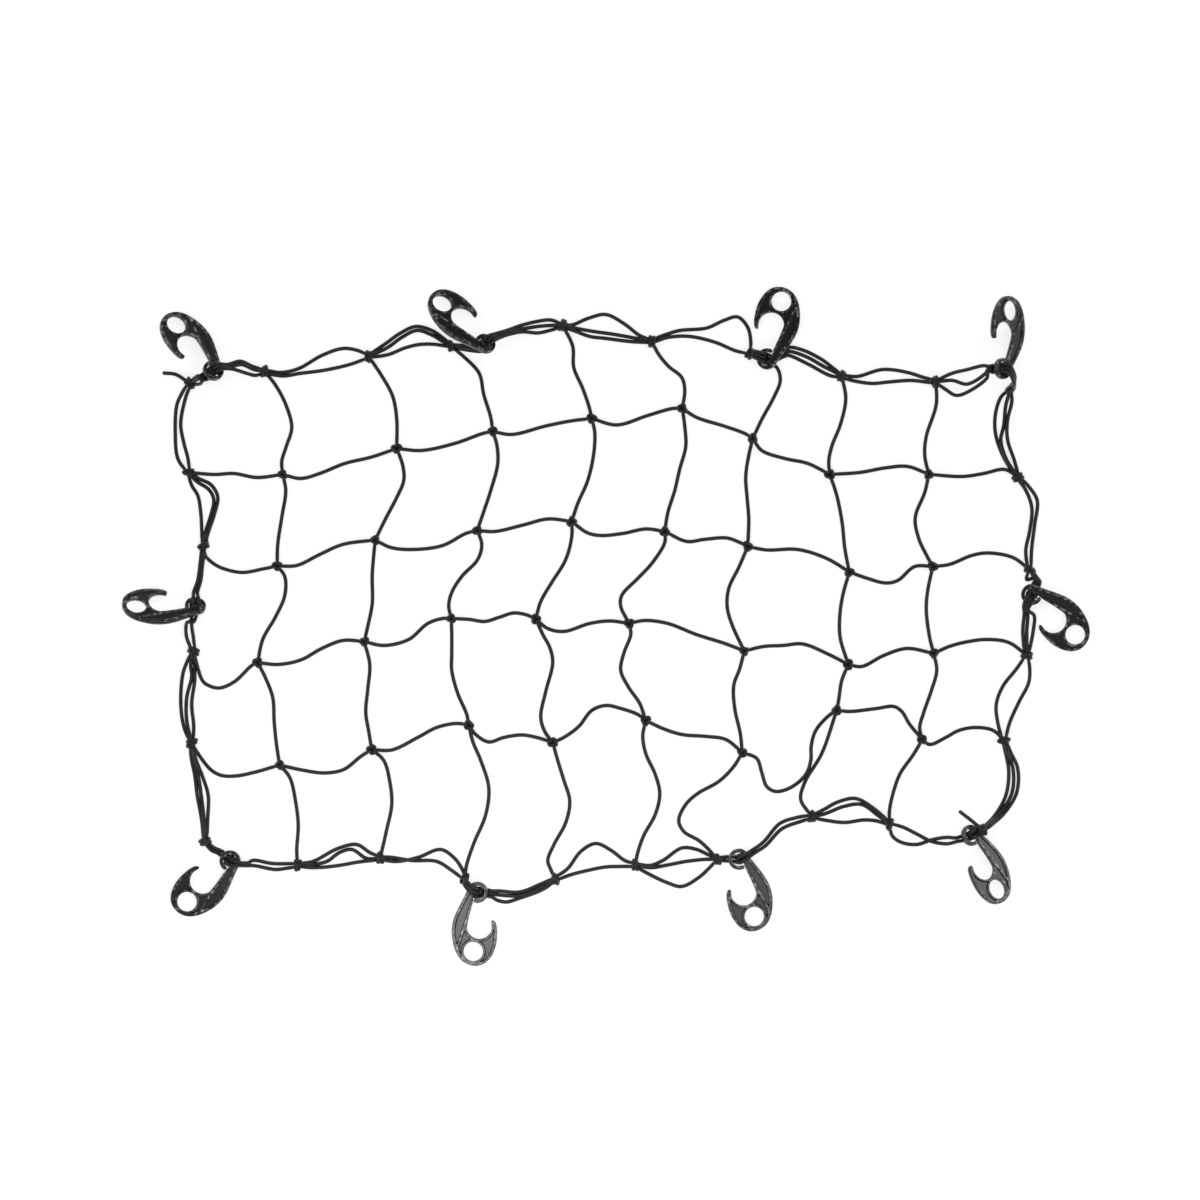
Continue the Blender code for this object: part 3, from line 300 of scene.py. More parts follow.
# Hook outline, in mm: along from the eye to the head, across towards the mouth
EYE_OUTER = 6.9
EYE_BORE = 4.5
EYE_MIDDLE = 0.95                # across: between the shank's inner edge and the curl
EYE_RUN = 2.05                   # how far across a strand goes while it leaves the plate's middle plane
CURL_END = -10                   # degrees: the curl stops here, a slit short of the shank
HEAD_HOLE = ((38.7, 0.0), 6.4)
MOUTH_ARC = ((22.0, 2.7), 8.3)
BACK_EDGE = ((-0.5, -6.9), (3.5, -8.3), (10.5, -11.4), (17.6, -14.0), (22.9, -14.9), (29.1, -14.7),
             (36.1, -12.9), (41.3, -10.4), (45.7, -6.3), (47.8, -0.9), (47.6, 4.0), (45.5, 8.3))
NOSE_EDGE = ((40.9, 12.0), (34.1, 14.3), (26.6, 14.7), (21.6, 14.1), (18.6, 13.0), (17.4, 11.3),
             (18.3, 10.3))
SHANK_INNER_EDGE = ((15.2, -4.2), (7.0, -2.6), (-4.0, -1.9))

# hollows in both faces of a hook, in mm: along, across, once round each
CURL_HOLLOW = (5.25, 6.2, 6, 232)   # inner and outer radius, first and last angle (degrees)
SHANK_HOLLOW = ((-2.6, -4.7), (0.2, -5.2), (4.0, -6.6), (10.5, -9.5), (17.6, -12.1), (22.9, -13.0),
                (29.1, -12.8), (33.0, -11.75), (34.7, -11.0), (34.8, -10.5), (31.0, -9.4), (25.0, -7.95),
                (15.2, -5.55), (7.0, -3.6), (2.6, -2.55), (-1.5, -2.9), (-2.9, -3.7))
NECK_HOLLOW = ((25.3, -6.5), (26.5, -7.25), (30.0, -8.15), (34.0, -9.1), (36.6, -9.7), (38.6, -9.4),
               (40.6, -8.5), (41.9, -7.6), (41.1, -7.35), (38.7, -7.6), (35.6, -6.95), (33.2, -5.3),
               (31.9, -3.9), (31.05, -2.3), (30.1, -2.6), (28.2, -4.5), (26.6, -5.6))
NOSE_HOLLOW = ((45.4, 4.4), (44.9, 6.4), (43.4, 8.6), (40.2, 10.7), (34.0, 12.7), (27.0, 13.2),
               (23.6, 12.95), (22.7, 12.6), (22.9, 12.2), (25.5, 11.4), (28.4, 9.6), (30.4, 6.9),
               (31.2, 4.6), (31.5, 3.0), (32.3, 4.2), (34.6, 6.5), (38.0, 7.65), (41.8, 7.05), (44.3, 5.2))
RIB_LINE = ((2.6, 34.7), (-4.6, -13.0))   # along, across: the brink on this side of it gets a brighter painted highlight
RIB_HIGHLIGHT = 1.3
# sections of a hook's edge from its flat face to the mould's parting line: inset, depth under the face (mm)
EDGE_SECTIONS = ((0.45, 0.0), (0.22, 0.07), (0.07, 0.22), (0.0, 0.45), (0.0, 1.43), (-0.08, 1.60))
# sections of a hollow's wall, from its brink to its floor
HOLLOW_SECTIONS = ((0.0, 0.0), (0.10, 0.05), (0.22, 0.24), (0.36, 0.72), (0.50, 0.92), (0.72, 1.00))
CURL_SECTIONS = ((0.0, 0.0), (0.06, 0.03), (0.14, 0.16), (0.22, 0.30), (0.32, 0.36))


# ---- nodes ---------------------------------------------------------------------------------------------
class Nodes:
    """Short calls that add and link a material's nodes."""

    def __init__(self, name):
        self.material = bpy.data.materials.new(name)
        self.material.use_nodes = True
        self.tree = self.material.node_tree
        self.shader = self.tree.nodes["Principled BSDF"]

    def add(self, kind, inputs=(), output=0, **settings):
        node = self.tree.nodes.new(kind)
        for name, value in settings.items():
            setattr(node, name, value)
        for place, value in dict(inputs).items():
            if isinstance(value, bpy.types.NodeSocket):
                self.tree.links.new(value, node.inputs[place])
            else:
                node.inputs[place].default_value = value
        return node.outputs[output]

    def math(self, operation, *values):
        return self.add("ShaderNodeMath", dict(enumerate(values)), operation=operation)

    def noise(self, place, scale, detail=3.0):
        return self.add("ShaderNodeTexNoise", {"Vector": place, "Scale": scale, "Detail": detail})

    def ramp(self, value, *stops):
        node = self.tree.nodes.new("ShaderNodeValToRGB")
        band = node.color_ramp.elements
        while len(band) < len(stops):
            band.new(0.5)
        for element, (position, colour) in zip(band, stops):
            element.position = position
            element.color = (*colour, 1)
        self.tree.links.new(value, node.inputs[0])
        return node.outputs[0]

    def bump(self, height, strength, distance):
        return self.add("ShaderNodeBump", {"Height": height, "Strength": strength, "Distance": distance})

    def finish(self, **inputs):
        for name, value in inputs.items():
            socket = self.shader.inputs[name.replace("_", " ")]
            if isinstance(value, bpy.types.NodeSocket):
                self.tree.links.new(value, socket)
            else:
                socket.default_value = value
        return self.material


def braided_cord():
    """Black braid: two sets of strands that pass over and under one another round the cord."""
    n = Nodes("black_braided_cord")
    coordinates = n.tree.nodes.new("ShaderNodeTexCoord")
    split = n.tree.nodes.new("ShaderNodeSeparateXYZ")
    n.tree.links.new(coordinates.outputs["UV"], split.inputs[0])
    along, around = split.outputs[0], split.outputs[1]
    right, left = n.math("ADD", along, around), n.math("SUBTRACT", along, around)
    right_in, left_in = n.math("FRACT", right), n.math("FRACT", left)
    right_rise = n.math("SINE", n.math("MULTIPLY", right_in, math.pi))
    left_rise = n.math("SINE", n.math("MULTIPLY", left_in, math.pi))
    turn = n.math("ADD", n.math("FLOOR", right), n.math("FLOOR", left))
    over = n.math("MULTIPLY", n.math("FRACT", n.math("MULTIPLY", turn, 0.5)), 2.0)
    top = n.math("MULTIPLY_ADD", over, n.math("SUBTRACT", left_rise, right_rise), right_rise)
    height = n.math(
        "MULTIPLY_ADD", n.math("MULTIPLY", right_rise, left_rise), 0.55, n.math("MULTIPLY", top, 0.45))
    fibres = n.math("SINE", n.math(
        "MULTIPLY", n.math("MULTIPLY_ADD", over, n.math("SUBTRACT", left, right), right), 30.0))
    relief = n.math("MULTIPLY_ADD", fibres, 0.05, height)
    patches = n.noise(coordinates.outputs["Object"], 90.0)
    # painted shade: the braid's gaps darker and its crowns lighter, with random patches of tone
    tone_with_painted_light = n.math("MULTIPLY_ADD", n.math("SUBTRACT", patches, 0.5), 0.5, height)
    colour = n.ramp(
        tone_with_painted_light, (0.05, (0.001, 0.001, 0.001)), (0.55, (0.004, 0.004, 0.0041)), (1.0, (0.012, 0.012, 0.0125)))
    rough = n.math("MULTIPLY_ADD", patches, 0.14, 0.34)
    return n.finish(
        Base_Color=colour, Roughness=rough, Normal=n.bump(relief, 0.5, 0.16 * MM), Specular_IOR_Level=0.34)


def moulded_plastic():
    """Black nylon with a fine grain, paler along its edges from a painted highlight mixed with wear, and
    smoother there.
    """
    n = Nodes("black_moulded_plastic")
    place = n.tree.nodes.new("ShaderNodeTexCoord").outputs["Object"]
    grain = n.noise(place, 1500.0, 4.0)
    clouds = n.noise(place, 70.0)
    painted_edge_highlight = n.add("ShaderNodeAttribute", output=2, attribute_name="painted_edge_highlight")
    scuffs = n.noise(place, 420.0, 5.0)
    # painted highlight on the edges and brinks, partly wear: scuffs break it up
    edge_highlight_and_wear = n.math("MULTIPLY", painted_edge_highlight, n.add("ShaderNodeMapRange", {"Value": scuffs, 1: 0.44, 2: 0.66}))
    tone_with_painted_light = n.math(
        "MULTIPLY_ADD", edge_highlight_and_wear, 0.60, n.math("MULTIPLY_ADD", grain, 0.35, n.math("MULTIPLY", clouds, 0.25)))
    # dark nylon, up to pale grey where the painted highlight is strongest
    colour = n.ramp(
        tone_with_painted_light, (0.15, (0.003, 0.003, 0.0032)), (0.42, (0.008, 0.008, 0.0083)), (1.0, (0.200, 0.200, 0.201)))
    rough = n.math("SUBTRACT", n.math("MULTIPLY_ADD", grain, 0.16, 0.21), n.math("MULTIPLY", edge_highlight_and_wear, 0.06))
    return n.finish(
        Base_Color=colour, Roughness=rough, Normal=n.bump(grain, 0.25, 0.10 * MM), Specular_IOR_Level=0.45)


def cut_core():
    """The rubber threads that show where a cord is cut."""
    n = Nodes("cut_rubber_core")
    place = n.tree.nodes.new("ShaderNodeTexCoord").outputs["Object"]
    threads = n.add("ShaderNodeTexVoronoi", {"Vector": place, "Scale": 2600.0})
    colour = n.ramp(threads, (0.1, (0.36, 0.35, 0.33)), (0.8, (0.07, 0.07, 0.07)))
    return n.finish(Base_Color=colour, Roughness=0.7, Normal=n.bump(threads, 0.5, 0.2 * MM))


# ---- routes ----------------------------------------------------------------------------------------------
def grid_point(x, y, height):
    """A place on the laying grid, at a height over the floor."""
    return Vector(((x - GRID_ORIGIN[0]) * GRID, (GRID_ORIGIN[1] - y) * GRID, height))


def catmull_rom(stations, steps):
    """A centripetal curve from the second station to the last but one."""
    route = []
    for p0, p1, p2, p3 in zip(stations, stations[1:], stations[2:], stations[3:]):
        t1 = math.sqrt((p1 - p0).length)
        t2 = t1 + math.sqrt((p2 - p1).length)
        t3 = t2 + math.sqrt((p3 - p2).length)
        for step in range(steps):
            t = t1 + (t2 - t1) * step / steps
            a1 = p0.lerp(p1, t / t1)
            a2 = p1.lerp(p2, (t - t1) / (t2 - t1))
            a3 = p2.lerp(p3, (t - t2) / (t3 - t2))
            b1 = a1.lerp(a2, t / t2)
            b2 = a2.lerp(a3, (t - t1) / (t3 - t1))
            route.append(b1.lerp(b2, (t - t1) / (t2 - t1)))
    return route + [stations[-2].copy()]


def smooth_route(stations):
    ends = [stations[0] * 2 - stations[1], *stations, stations[-1] * 2 - stations[-2]]
    route = catmull_rom(ends, ROUTE_STEPS)
    for point in route:
        point.z = max(point.z, CORD_RADIUS)
    return route


def knot_middle(row, column):
    x, y = KNOTS[row][column]
    return grid_point(x, y, PROPPED_KNOTS.get((row, column), KNOT_HEIGHT))


def on_border(row, column):
    return row in (0, LAST_ROW) or column in (0, LAST_COLUMN)


def border_direction(row, column):
    around = ((row, column - 1), (row - 1, column), (row, column + 1), (row + 1, column))
    before, after = [
        KNOTS[r][c] for r, c in around
        if 0 <= r <= LAST_ROW and 0 <= c <= LAST_COLUMN and on_border(r, c)
    ]
    return (grid_point(*after, 0) - grid_point(*before, 0)).normalized()


def floor_stations(places):
    return [grid_point(x, y, CORD_RADIUS) for x, y in places]


def coming_down(hook_side, places, knot):
    """Stations from a hook to a knot, sloping down to the floor, more steeply where the way is short."""
    way = [hook_side, *floor_stations(places), knot_middle(*knot)]
    runs = [0]
    for before, here in zip(way, way[1:]):
        runs.append(runs[-1] + (here.xy - before.xy).length)
    slope = max(DESCENT, (hook_side.z - way[-1].z) / runs[-1])
    for station, run in zip(way[1:-1], runs[1:]):
        station.z = max(station.z, hook_side.z - slope * run)
    return way[1:-1]


def gripped(bunch, knot, which):
    middle = knot_middle(*knot)
    arrivals = [stations[which] - middle for stations in bunch]
    toward = sum(arrivals, Vector())
    toward.z = 0
    toward.normalize()
    side = Vector((-toward.y, toward.x, 0))
    order = sorted(range(len(bunch)), key=lambda strand: arrivals[strand].dot(side))
    ends = {}
    for strand, (across, up) in zip(order, GRIPS[len(bunch)]):
        ends[strand] = middle + toward * GRIP_PLACE + side * across * MM + Vector((0, 0, up * MM))
    return ends


def laid_over(route, laid):
    """The route, lifted where it would run through strands laid before it."""
    aside, above = LAID_OVER
    lifted = []
    for point in route:
        lift = 0
        for other in laid:
            apart = (other.xy - point.xy).length
            if apart < aside:
                clear = above * math.sqrt(1 - (apart / aside) ** 2)
                if other.z - point.z < clear:
                    lift = max(lift, other.z + clear - point.z)
        from_knot = min((point - route[0]).length, (point - route[-1]).length)
        lifted.append(point + Vector((0, 0, lift * min(1, from_knot / LAID_RAMP))))
    return lifted


def hook_frame(hook):
    """The matrix that lays a hook down: eye at its height, head let down until it touches the floor."""
    eye, head, turn, roll, eye_height = hook[1:6]
    start, end = grid_point(*eye, 0), grid_point(*head, 0)
    heading = math.atan2(end.y - start.y, end.x - start.x)
    lift = math.radians(roll)
    lowest = []
    for along, across in part_outline():
        if along > MOUTH_ARC[0][0] / 2:
            under = across * math.sin(lift) - HOOK_THICKNESS / MM / 2 * math.cos(lift)
            lowest.append((-eye_height - under) / along)
    pitch = math.asin(max(lowest))
    turned = (
        Matrix.Rotation(heading, 4, "Z")
        @ Matrix.Rotation(-pitch, 4, "Y")
        @ Matrix.Rotation(turn * lift, 4, "X")
        @ Matrix.Rotation(0 if turn > 0 else math.pi, 4, "X")
    )
    place = (start + end - turned @ Vector((HEAD_HOLE[0][0] * MM, 0, 0))) / 2
    place.z = eye_height * MM
    return Matrix.Translation(place) @ turned


def threading(hook, sideways):
    """Stations of a strand through a hook's eye, wider apart in the bore than outside it."""
    turn, enters, over, lean, back = hook[3], *hook[6:]
    pose = hook_frame(hook)
    reach = THREAD_REACH / MM * over * turn
    spread = sideways * EYE_SPREAD
    sideways *= EXIT_SPREAD
    stations = [
        (sideways + lean, EYE_OUTER + THREAD_ENTRY, reach),
        (spread + lean * LEAN_KEPT, EYE_MIDDLE + EYE_RUN, reach * REACH_INSIDE),
        (spread, EYE_MIDDLE, 0),
        (spread, EYE_MIDDLE - EYE_RUN, -reach * REACH_AT_SHANK),
    ]
    if back:
        stations.append((sideways + back[0], back[1], -reach))
    placed = [pose @ (Vector(station) * MM) for station in stations]
    return placed if enters == "mouth" else placed[::-1]


def border_routes():
    """Every strand of the border and its radii, by the knots that it joins."""
    hooks = {hook[0]: hook for hook in HOOKS}
    loose, threaded = {}, {}
    for start, places, end in BORDER_STRANDS:
        loose.setdefault((start, end), []).append((floor_stations(places), None))
    for start, before, name, sideways, after, end in THREADED_STRANDS:
        through = threading(hooks[name], sideways)
        eye = hook_frame(hooks[name]) @ Vector((0, EYE_MIDDLE * MM, 0))
        coming = coming_down(through[0], before[::-1], start)[::-1]
        stations = [*coming, *through, *coming_down(through[-1], after, end)]
        threaded.setdefault((start, end), []).append((stations, eye))
    routes = []
    for (start, end), bunch in [*loose.items(), *threaded.items()]:
        ways = [stations for stations, _ in bunch]
        first, last = gripped(ways, start, 0), gripped(ways, end, -1)
        laid = []
        for strand, (stations, eye) in enumerate(bunch):
            route = smooth_route([first[strand], *stations, last[strand]])
            if eye is None:
                route = laid_over(route, laid)
                laid += route
            radii = cord_radii(route, eye, EYE_RADII.get(len(bunch)))
            routes.append((start, end, route, radii))
    return routes


def mesh_routes(border):
    """Every cord of the mesh, laid over the border's strands where it starts beside them."""
    spans = [(row, column, (row, column + 1), places) for row, column, places in CORDS_ACROSS]
    spans += [(row, column, (row + 1, column), places) for row, column, places in CORDS_DOWN]
    routes = []
    for row, column, reached, places in spans:
        start, end = knot_middle(row, column), knot_middle(*reached)
        route = smooth_route([start, *floor_stations(places), end])
        ends = {(row, column), reached}
        beside = [point for first, last, way, _ in border if {first, last} & ends for point in way]
        if beside:
            route = laid_over(route, beside)
        routes.append((route, cord_radii(route)))
    return routes


# ---- meshes ----------------------------------------------------------------------------------------------
def add_tube(mesh, route, radii, capped=True):
    """A closed round tube whose UV map counts the braid's diamonds along and round it."""
    uv = mesh.loops.layers.uv.verify()
    normal = Vector((0, 0, 1))
    rings, run = [], 0
    for before, here, after, radius in zip([route[0], *route], route, [*route[1:], route[-1]], radii):
        along = (after - before).normalized()
        normal = normal - along * normal.dot(along)
        if normal.length < 1e-6:
            normal = along.orthogonal()
        normal.normalize()
        across = along.cross(normal)
        run += (here - before).length
        ring = []
        for side in range(CORD_SIDES):
            angle = 2 * math.pi * side / CORD_SIDES
            corner = here + (normal * math.cos(angle) + across * math.sin(angle)) * radius
            ring.append(mesh.verts.new(corner))
        rings.append((ring, run / MM / BRAID_STEP))
    for (ring, start), (following, end) in zip(rings, rings[1:]):
        for side in range(CORD_SIDES):
            other = (side + 1) % CORD_SIDES
            face = mesh.faces.new((ring[side], ring[other], following[other], following[side]))
            face.smooth = True
            places = ((start, side), (start, side + 1), (end, side + 1), (end, side))
            for loop, (u, v) in zip(face.loops, places):
                loop[uv].uv = (u, v * BRAID_ROUND / CORD_SIDES)
    if capped:
        mesh.faces.new(rings[0][0][::-1])
        mesh.faces.new(rings[-1][0])
    return rings


def cord_radii(route, eye=None, eye_radius=0):
    """The cord's radius along the route: smaller in the knots at its ends, larger where it lies in an eye."""
    radii = []
    for point in route:
        from_knot = min((point - route[0]).length, (point - route[-1]).length)
        radius = TIGHT_RADIUS + (CORD_RADIUS - TIGHT_RADIUS) * min(1, from_knot / KNOT_REACH) ** 2
        if eye:
            near = max(0, 1 - (point - eye).length / EYE_REACH)
            radius += (eye_radius - CORD_RADIUS) * min(1, 2 * near)
        radii.append(radius)
    return radii


def wrapped_knot(mesh, middle, axis, chance):
    """Turns of cord round the strands at a border knot, and one more that crosses back over them."""
    side = Vector((0, 0, 1)).cross(axis)
    up = Vector((0, 0, 1))
    wide, high, long = (share * MM for share in WRAP_HALF)
    hand = chance.choice((-1, 1))
    begin = chance.uniform(0, 2 * math.pi)
    tilt = chance.uniform(-0.35, 0.35)
    stations = []
    for step in range(int(WRAP_STEPS * (WRAP_TURNS + WRAP_BACK)) + 1):
        done = step / WRAP_STEPS
        angle = begin + hand * 2 * math.pi * done
        swell = 1.0
        if done <= WRAP_TURNS:
            place = -long + 2 * long * done / WRAP_TURNS
        else:
            share = (done - WRAP_TURNS) / WRAP_BACK
            place = long - 2 * long * share
            swell = 1 + WRAP_SWELL * math.sin(math.pi * share)
        offset = side * (wide * swell * math.cos(angle)) + up * (high * swell * math.sin(angle))
        point = middle + offset + axis * (place + tilt * wide * math.cos(angle))
        point.z = max(point.z, KNOT_CORD)
        stations.append(point)
    route = catmull_rom([stations[0] * 2 - stations[1], *stations, stations[-1] * 2 - stations[-2]], 3)
    add_tube(mesh, route, [KNOT_CORD] * len(route))


def overhand_knot(mesh, middle, size, chance, lying=None):
    """A lump of one turn of cord that crosses itself three times, flat on the floor or in a hook's plate."""
    turned = Matrix.Rotation(chance.uniform(0, 2 * math.pi), 3, "Z")
    leaned = Matrix.Rotation(chance.uniform(-0.3, 0.3), 3, "X")
    if lying:
        turned, leaned = lying.to_3x3(), Matrix.Identity(3)
    stretch = chance.uniform(0.88, 1.12)
    hand = chance.choice((-1, 1))
    route = []
    for step in range(LUMP_STEPS + 1):
        t = 2 * math.pi * step / LUMP_STEPS
        offset = Vector((
            (math.sin(t) + 2.6 * math.sin(2 * t)) / 3.6 * stretch,
            (math.cos(t) - 2.6 * math.cos(2 * t)) / 3.6 / stretch,
            -math.sin(3 * t) * LUMP_LIFT * hand,
        ))
        point = middle + turned @ (leaned @ offset) * size
        point.z = max(point.z, KNOT_CORD)
        route.append(point)
    add_tube(mesh, route, [KNOT_CORD] * len(route))


def add_cut_end(mesh, tip, along, radius):
    """A short core of rubber threads that stands out of the cut braid."""
    route = [tip - along * 0.2 * MM, tip + along * 0.25 * MM, tip + along * 0.55 * MM]
    add_tube(mesh, route, [radius * 0.80, radius * 0.78, radius * 0.62])


def arc(centre, radius, start, end, steps):
    points = []
    for step in range(steps + 1):
        angle = math.radians(start + (end - start) * step / steps)
        points.append((centre[0] + radius * math.cos(angle), centre[1] + radius * math.sin(angle)))
    return points


def part_outline():
    """The outline that the part lets down on the floor."""
    return [*BACK_EDGE, *NOSE_EDGE, *arc(*MOUTH_ARC, 93, -75, 8), *SHANK_INNER_EDGE,
            *arc((0, 0), EYE_BORE, 190, CURL_END, 8), *arc((0, 0), EYE_OUTER, CURL_END, 250, 10)]


def planar(points):
    return [Vector((x, y, 0)) for x, y in points]


def fine_outline():
    """The same outline, smooth, with a rounded nose and a rounded end on the curl."""
    mouth = planar(arc(*MOUTH_ARC, 93, -75, 26))
    bore = planar(arc((0, 0), EYE_BORE, 190, CURL_END, 20))
    curl = planar(arc((0, 0), EYE_OUTER, CURL_END, 250, 28))
    back = catmull_rom([curl[-1], *planar(BACK_EDGE), *planar(NOSE_EDGE), mouth[0]], 4)
    shank = catmull_rom([mouth[-2], mouth[-1], *planar(SHANK_INNER_EDGE), bore[0]], 4)
    middle = (bore[-1] + curl[0]) / 2
    spoke = (bore[-1] - middle)
    nose = [middle + Matrix.Rotation(math.radians(angle), 3, "Z") @ spoke for angle in (36, 72, 108, 144)]
    return [*back, *mouth[:-1], *shank[:-1], *bore, *nose, *curl[:-1]]


def inset(loop, distance):
    """The loop, moved to its left by a distance in mm."""
    moved = []
    for before, here, after in zip([loop[-1], *loop], loop, [*loop[1:], loop[0]]):
        into, out = (here - before).normalized(), (after - here).normalized()
        left = Vector((-into.y - out.y, into.x + out.x, 0)).normalized()
        stretch = max(0.5, left.dot(Vector((-out.y, out.x, 0))))
        moved.append(here + left * distance / stretch)
    return moved


def on_rib(point):
    """Whether a place on the brink of the shank's hollow is on the rib that runs from the eye to the back."""
    along, across = RIB_LINE
    return across[0] + (point.x - along[0]) * (across[1] - across[0]) / (along[1] - along[0]) < point.y


def add_rings(mesh, loop, sections, top, painted_edge_highlight, edge_highlight_and_wear):
    """Rings of vertices for the loop's sections, joined in strips, from the face down."""
    half = HOOK_THICKNESS / MM / 2
    rings = []
    for number, (distance, depth) in enumerate(sections):
        ring = []
        for point in inset(loop, distance):
            vertex = mesh.verts.new(Vector((point.x, point.y, top * (half - depth))) * MM)
            # each section's weight of painted highlight (partly wear), stored on its vertices
            vertex[painted_edge_highlight] = edge_highlight_and_wear[number] if number < len(edge_highlight_and_wear) else 0
            ring.append(vertex)
        rings.append(ring)
    for ring, following in zip(rings, rings[1:]):
        for here in range(len(ring)):
            other = (here + 1) % len(ring)
            corners = (ring[here], ring[other], following[other], following[here])
            mesh.faces.new(corners if top < 0 else corners[::-1]).smooth = True
    return rings


def fill(mesh, loops, top):
    """Flat triangles between the first loop of vertices and the others."""
    corners = [vertex for loop in loops for vertex in loop]
    for triangle in tessellate_polygon([[vertex.co for vertex in loop] for loop in loops]):
        a, b, c = (corners[index] for index in triangle)
        facing = (b.co - a.co).cross(c.co - a.co).z
        mesh.faces.new((a, b, c) if facing * top > 0 else (a, c, b))


def hook_mesh(name, pose):
    mesh = bmesh.new()
    painted_edge_highlight = mesh.verts.layers.float.new("painted_edge_highlight")
    hole = planar(arc(*HEAD_HOLE, 360, 10, 35))
    seams = {}
    for top in (1, -1):
        brinks = []
        for key, loop in (("outline", fine_outline()), ("hole", hole)):
            # weights of painted highlight, section by section, from the face's brink to the parting line
            rings = add_rings(mesh, loop, EDGE_SECTIONS, top, painted_edge_highlight, (0.7, 1, 1, 0.8, 0.1, 0.5))
            brinks.append(rings[0])
            seams.setdefault(key, []).append(rings[-1])
        for hollow in (SHANK_HOLLOW, NECK_HOLLOW, NOSE_HOLLOW, None):
            if hollow:
                closed = planar(hollow)
                loop = catmull_rom([closed[-1], *closed, closed[0], closed[1]], 3)[:-1]
            else:
                inner, outer, first, last = CURL_HOLLOW
                loop = planar(arc((0, 0), outer, first, last, 24) + arc((0, 0), inner, last, first, 24))
            sections = HOLLOW_SECTIONS if hollow else CURL_SECTIONS
            # weights of painted highlight on a hollow's brink
            rings = add_rings(mesh, loop, sections, top, painted_edge_highlight, (0.9, 0.8, 0.3))
            # the brink on the rib's side of the shank's hollow gets more painted highlight
            if hollow is SHANK_HOLLOW:
                for vertex, point in zip(rings[0], loop):
                    vertex[painted_edge_highlight] = RIB_HIGHLIGHT if on_rib(point) else vertex[painted_edge_highlight]
            brinks.append(rings[0])
            fill(mesh, [rings[-1]], top)
        fill(mesh, brinks, top)
    seam_vertices = [v for pair in seams.values() for ring in pair for v in ring]
    bmesh.ops.remove_doubles(mesh, verts=seam_vertices, dist=1e-6)
    bmesh.ops.transform(mesh, matrix=pose, verts=mesh.verts[:])
    bmesh.ops.recalc_face_normals(mesh, faces=mesh.faces[:])
    return new_piece(name, mesh, plastic)


def new_piece(name, mesh, finish):
    data = bpy.data.meshes.new(name)
    mesh.to_mesh(data)
    mesh.free()
    data.materials.append(finish)
    made = bpy.data.objects.new(name, data)
    bpy.context.scene.collection.objects.link(made)
    return made


def dress(piece, slot, *nodes):
    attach(piece, "root")
    if nodes:
        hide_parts(*nodes)


# ---- the camera, straight over the net -------------------------------------------------------------------
LENS = 200.0
SENSOR = 36.0
FRAME_WIDTH = 1200 * GRID
camera = bpy.data.objects.new("camera", bpy.data.cameras.new("camera"))
bpy.context.scene.collection.objects.link(camera)
camera.data.lens = LENS
camera.data.sensor_width = SENSOR
camera.data.clip_end = 20
camera.location = grid_point(600.25, 599.5, FRAME_WIDTH * LENS / SENSOR + CORD_RADIUS)
bpy.context.scene.camera = camera

# ---- the pieces --------------------------------------------------------------------------------------------
cord, plastic, core = braided_cord(), moulded_plastic(), cut_core()
border = border_routes()

strands = bmesh.new()
for _, _, route, radii in border:
    add_tube(strands, route, radii)
cores = bmesh.new()
for start, places in FREE_ENDS:
    stations = [grid_point(x, y, max(height * MM, CORD_RADIUS)) for x, y, height in places]
    route = smooth_route([knot_middle(*start), *stations])
    add_tube(strands, route, [CORD_RADIUS] * len(route))
    add_cut_end(cores, route[-1], (route[-1] - route[-2]).normalized(), CORD_RADIUS)
dress(new_piece("border_strands", strands, cord), "cord", "border_cord")
dress(new_piece("cut_ends", cores, core), "cord")

cords = bmesh.new()
for route, radii in mesh_routes(border):
    add_tube(cords, route, radii)
dress(new_piece("mesh_cords", cords, cord), "cord", "net_mesh")

chance = random.Random(11)
mesh_knots, border_knots = bmesh.new(), bmesh.new()
for row in range(LAST_ROW + 1):
    for column in range(LAST_COLUMN + 1):
        middle = knot_middle(row, column)
        if on_border(row, column):
            axis = border_direction(row, column)
            axis.rotate(Matrix.Rotation(chance.uniform(-0.2, 0.2), 3, "Z"))
            wrapped_knot(border_knots, middle, axis, chance)
        else:
            overhand_knot(mesh_knots, middle, LUMP_SIZE * chance.uniform(0.92, 1.08), chance)
dress(new_piece("mesh_knots", mesh_knots, cord), "cord")

for hook in HOOKS:
    pose = hook_frame(hook)
    # lumps of cord fill each eye's bore, partly in place of the shade that darkens it
    if hook[0] in OPEN_EYES:
        overhand_knot(border_knots, pose @ Vector((0, -1.0 * MM, 0)), EYE_LUMP * 0.8, chance, pose)
    else:
        overhand_knot(border_knots, pose @ Vector((0, 0, 0.5 * MM)), EYE_LUMP, chance, pose)
        half_turn = Matrix.Rotation(math.pi / 3, 4, "Z")
        overhand_knot(border_knots, pose @ Vector((0, 0, -0.5 * MM)), EYE_LUMP, chance, pose @ half_turn)
    dress(hook_mesh(f"{hook[0]}_moulding", pose), "hook", hook[0])
dress(new_piece("border_knots", border_knots, cord), "cord")

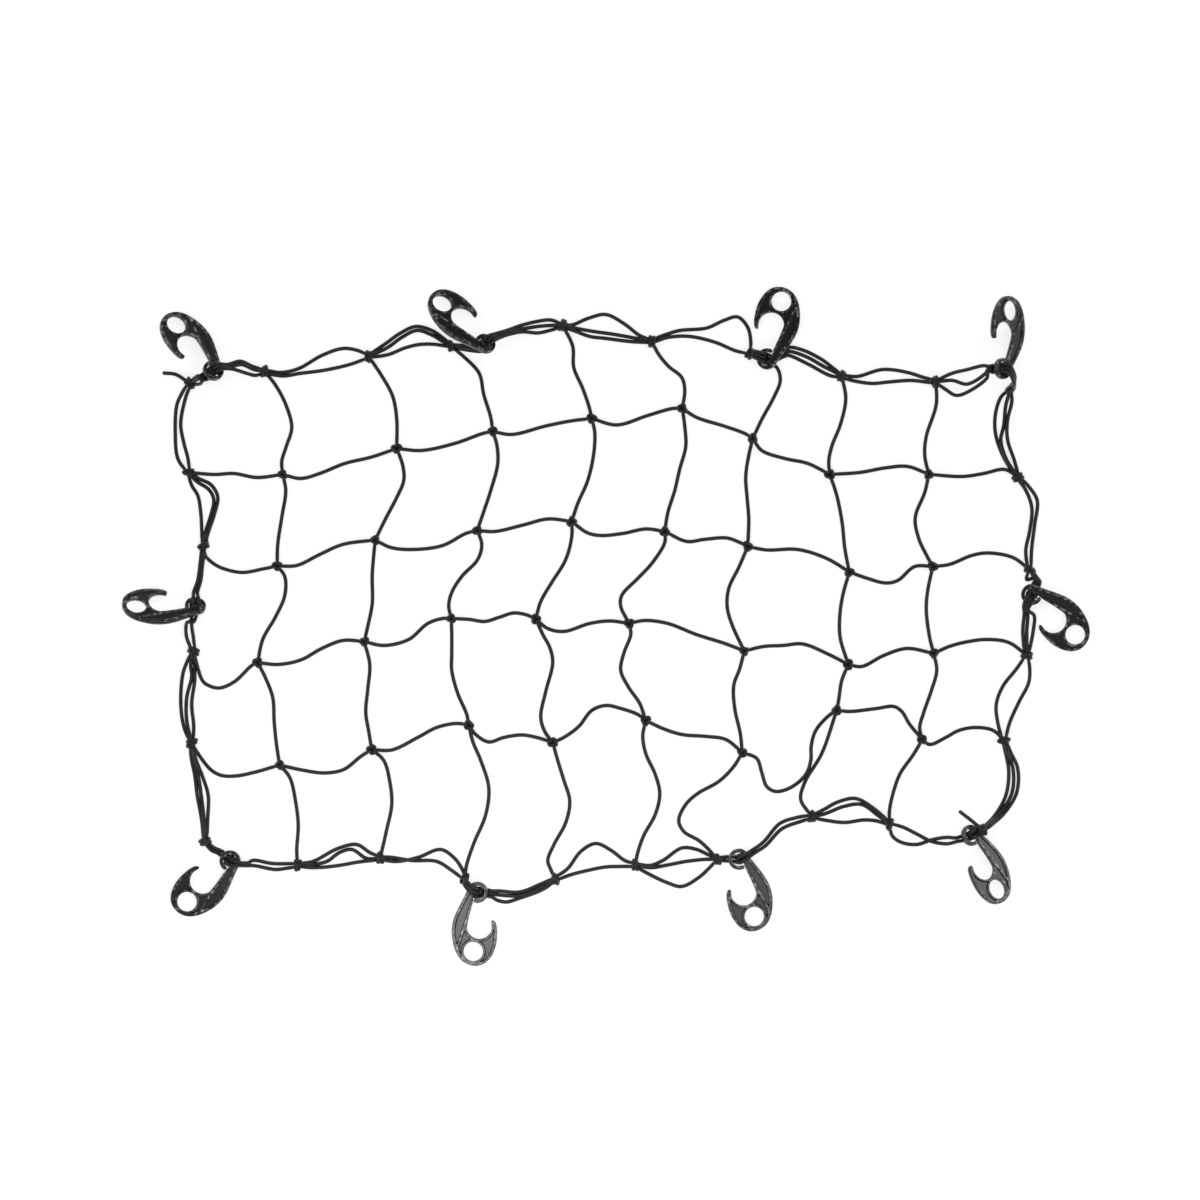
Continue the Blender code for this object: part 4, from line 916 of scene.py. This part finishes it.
# ---- the floor and the light ---------------------------------------------------------------------------
floor_nodes = Nodes("pale_floor")
floor_place = floor_nodes.tree.nodes.new("ShaderNodeTexCoord").outputs["Object"]
paper = floor_nodes.ramp(
    floor_nodes.noise(floor_place, 40.0), (0.3, (0.26, 0.26, 0.26)), (0.7, (0.28, 0.28, 0.28)))
floor = bmesh.new()
bmesh.ops.create_grid(floor, x_segments=1, y_segments=1, size=6.0)
floor = new_piece("floor", floor, floor_nodes.finish(
    Base_Color=paper, Roughness=0.9, Specular_IOR_Level=0.1,
    Emission_Color=(1, 1, 1, 1), Emission_Strength=0.72))

world = bpy.data.worlds.new("studio")
bpy.context.scene.world = world
world.use_nodes = True
world.node_tree.nodes["Background"].inputs["Color"].default_value = (1, 1, 1, 1)
world.node_tree.nodes["Background"].inputs["Strength"].default_value = 0.5
world.cycles_visibility.glossy = False


def softbox(name, place, aim, size, power):
    """A lamp of this length and width that faces a place, with its length level."""
    light = bpy.data.objects.new(name, bpy.data.lights.new(name, "AREA"))
    light.data.shape = "RECTANGLE"
    light.data.size, light.data.size_y = size
    light.data.energy = power
    light.location = place
    light.rotation_mode = "QUATERNION"
    light.rotation_quaternion = (Vector(place) - Vector(aim)).to_track_quat("Z", "Y")
    light.visible_camera = False
    bpy.context.scene.collection.objects.link(light)


def glare(name, size, power):
    """A small lamp that a hook's face mirrors towards the camera."""
    pose = hook_frame(next(hook for hook in HOOKS if hook[0] == name))
    face = pose @ Vector((20 * MM, -6 * MM, 0))
    normal = pose.to_3x3().col[2].normalized()
    if normal.z < 0:
        normal.negate()
    view = (camera.location - face).normalized()
    mirrored = normal * (2 * normal.dot(view)) - view
    softbox(f"glare_{name}", face + mirrored * GLARE_REACH, face, size, power)


GLARE_REACH = 0.32
softbox("light_table", (0, 0, 0.2 * MM), (0, 0, 1), (1.3, 1.3), 3)
softbox("north", (0, 1.7, 1.6), (0, 0, 0), (3.4, 0.8), 20)
softbox("south", (0, -1.7, 1.6), (0, 0, 0), (3.4, 0.8), 17)
softbox("west", (-1.7, 0, 1.6), (0, 0, 0), (0.8, 3.4), 20)
softbox("east", (1.7, 0, 1.6), (0, 0, 0), (0.8, 3.4), 17)
glare("hook_8", (0.14, 0.14), 0.42)
glare("hook_9", (0.14, 0.14), 0.16)
glare("hook_10", (0.14, 0.14), 0.25)

bpy.context.scene.view_settings.view_transform = "Standard"
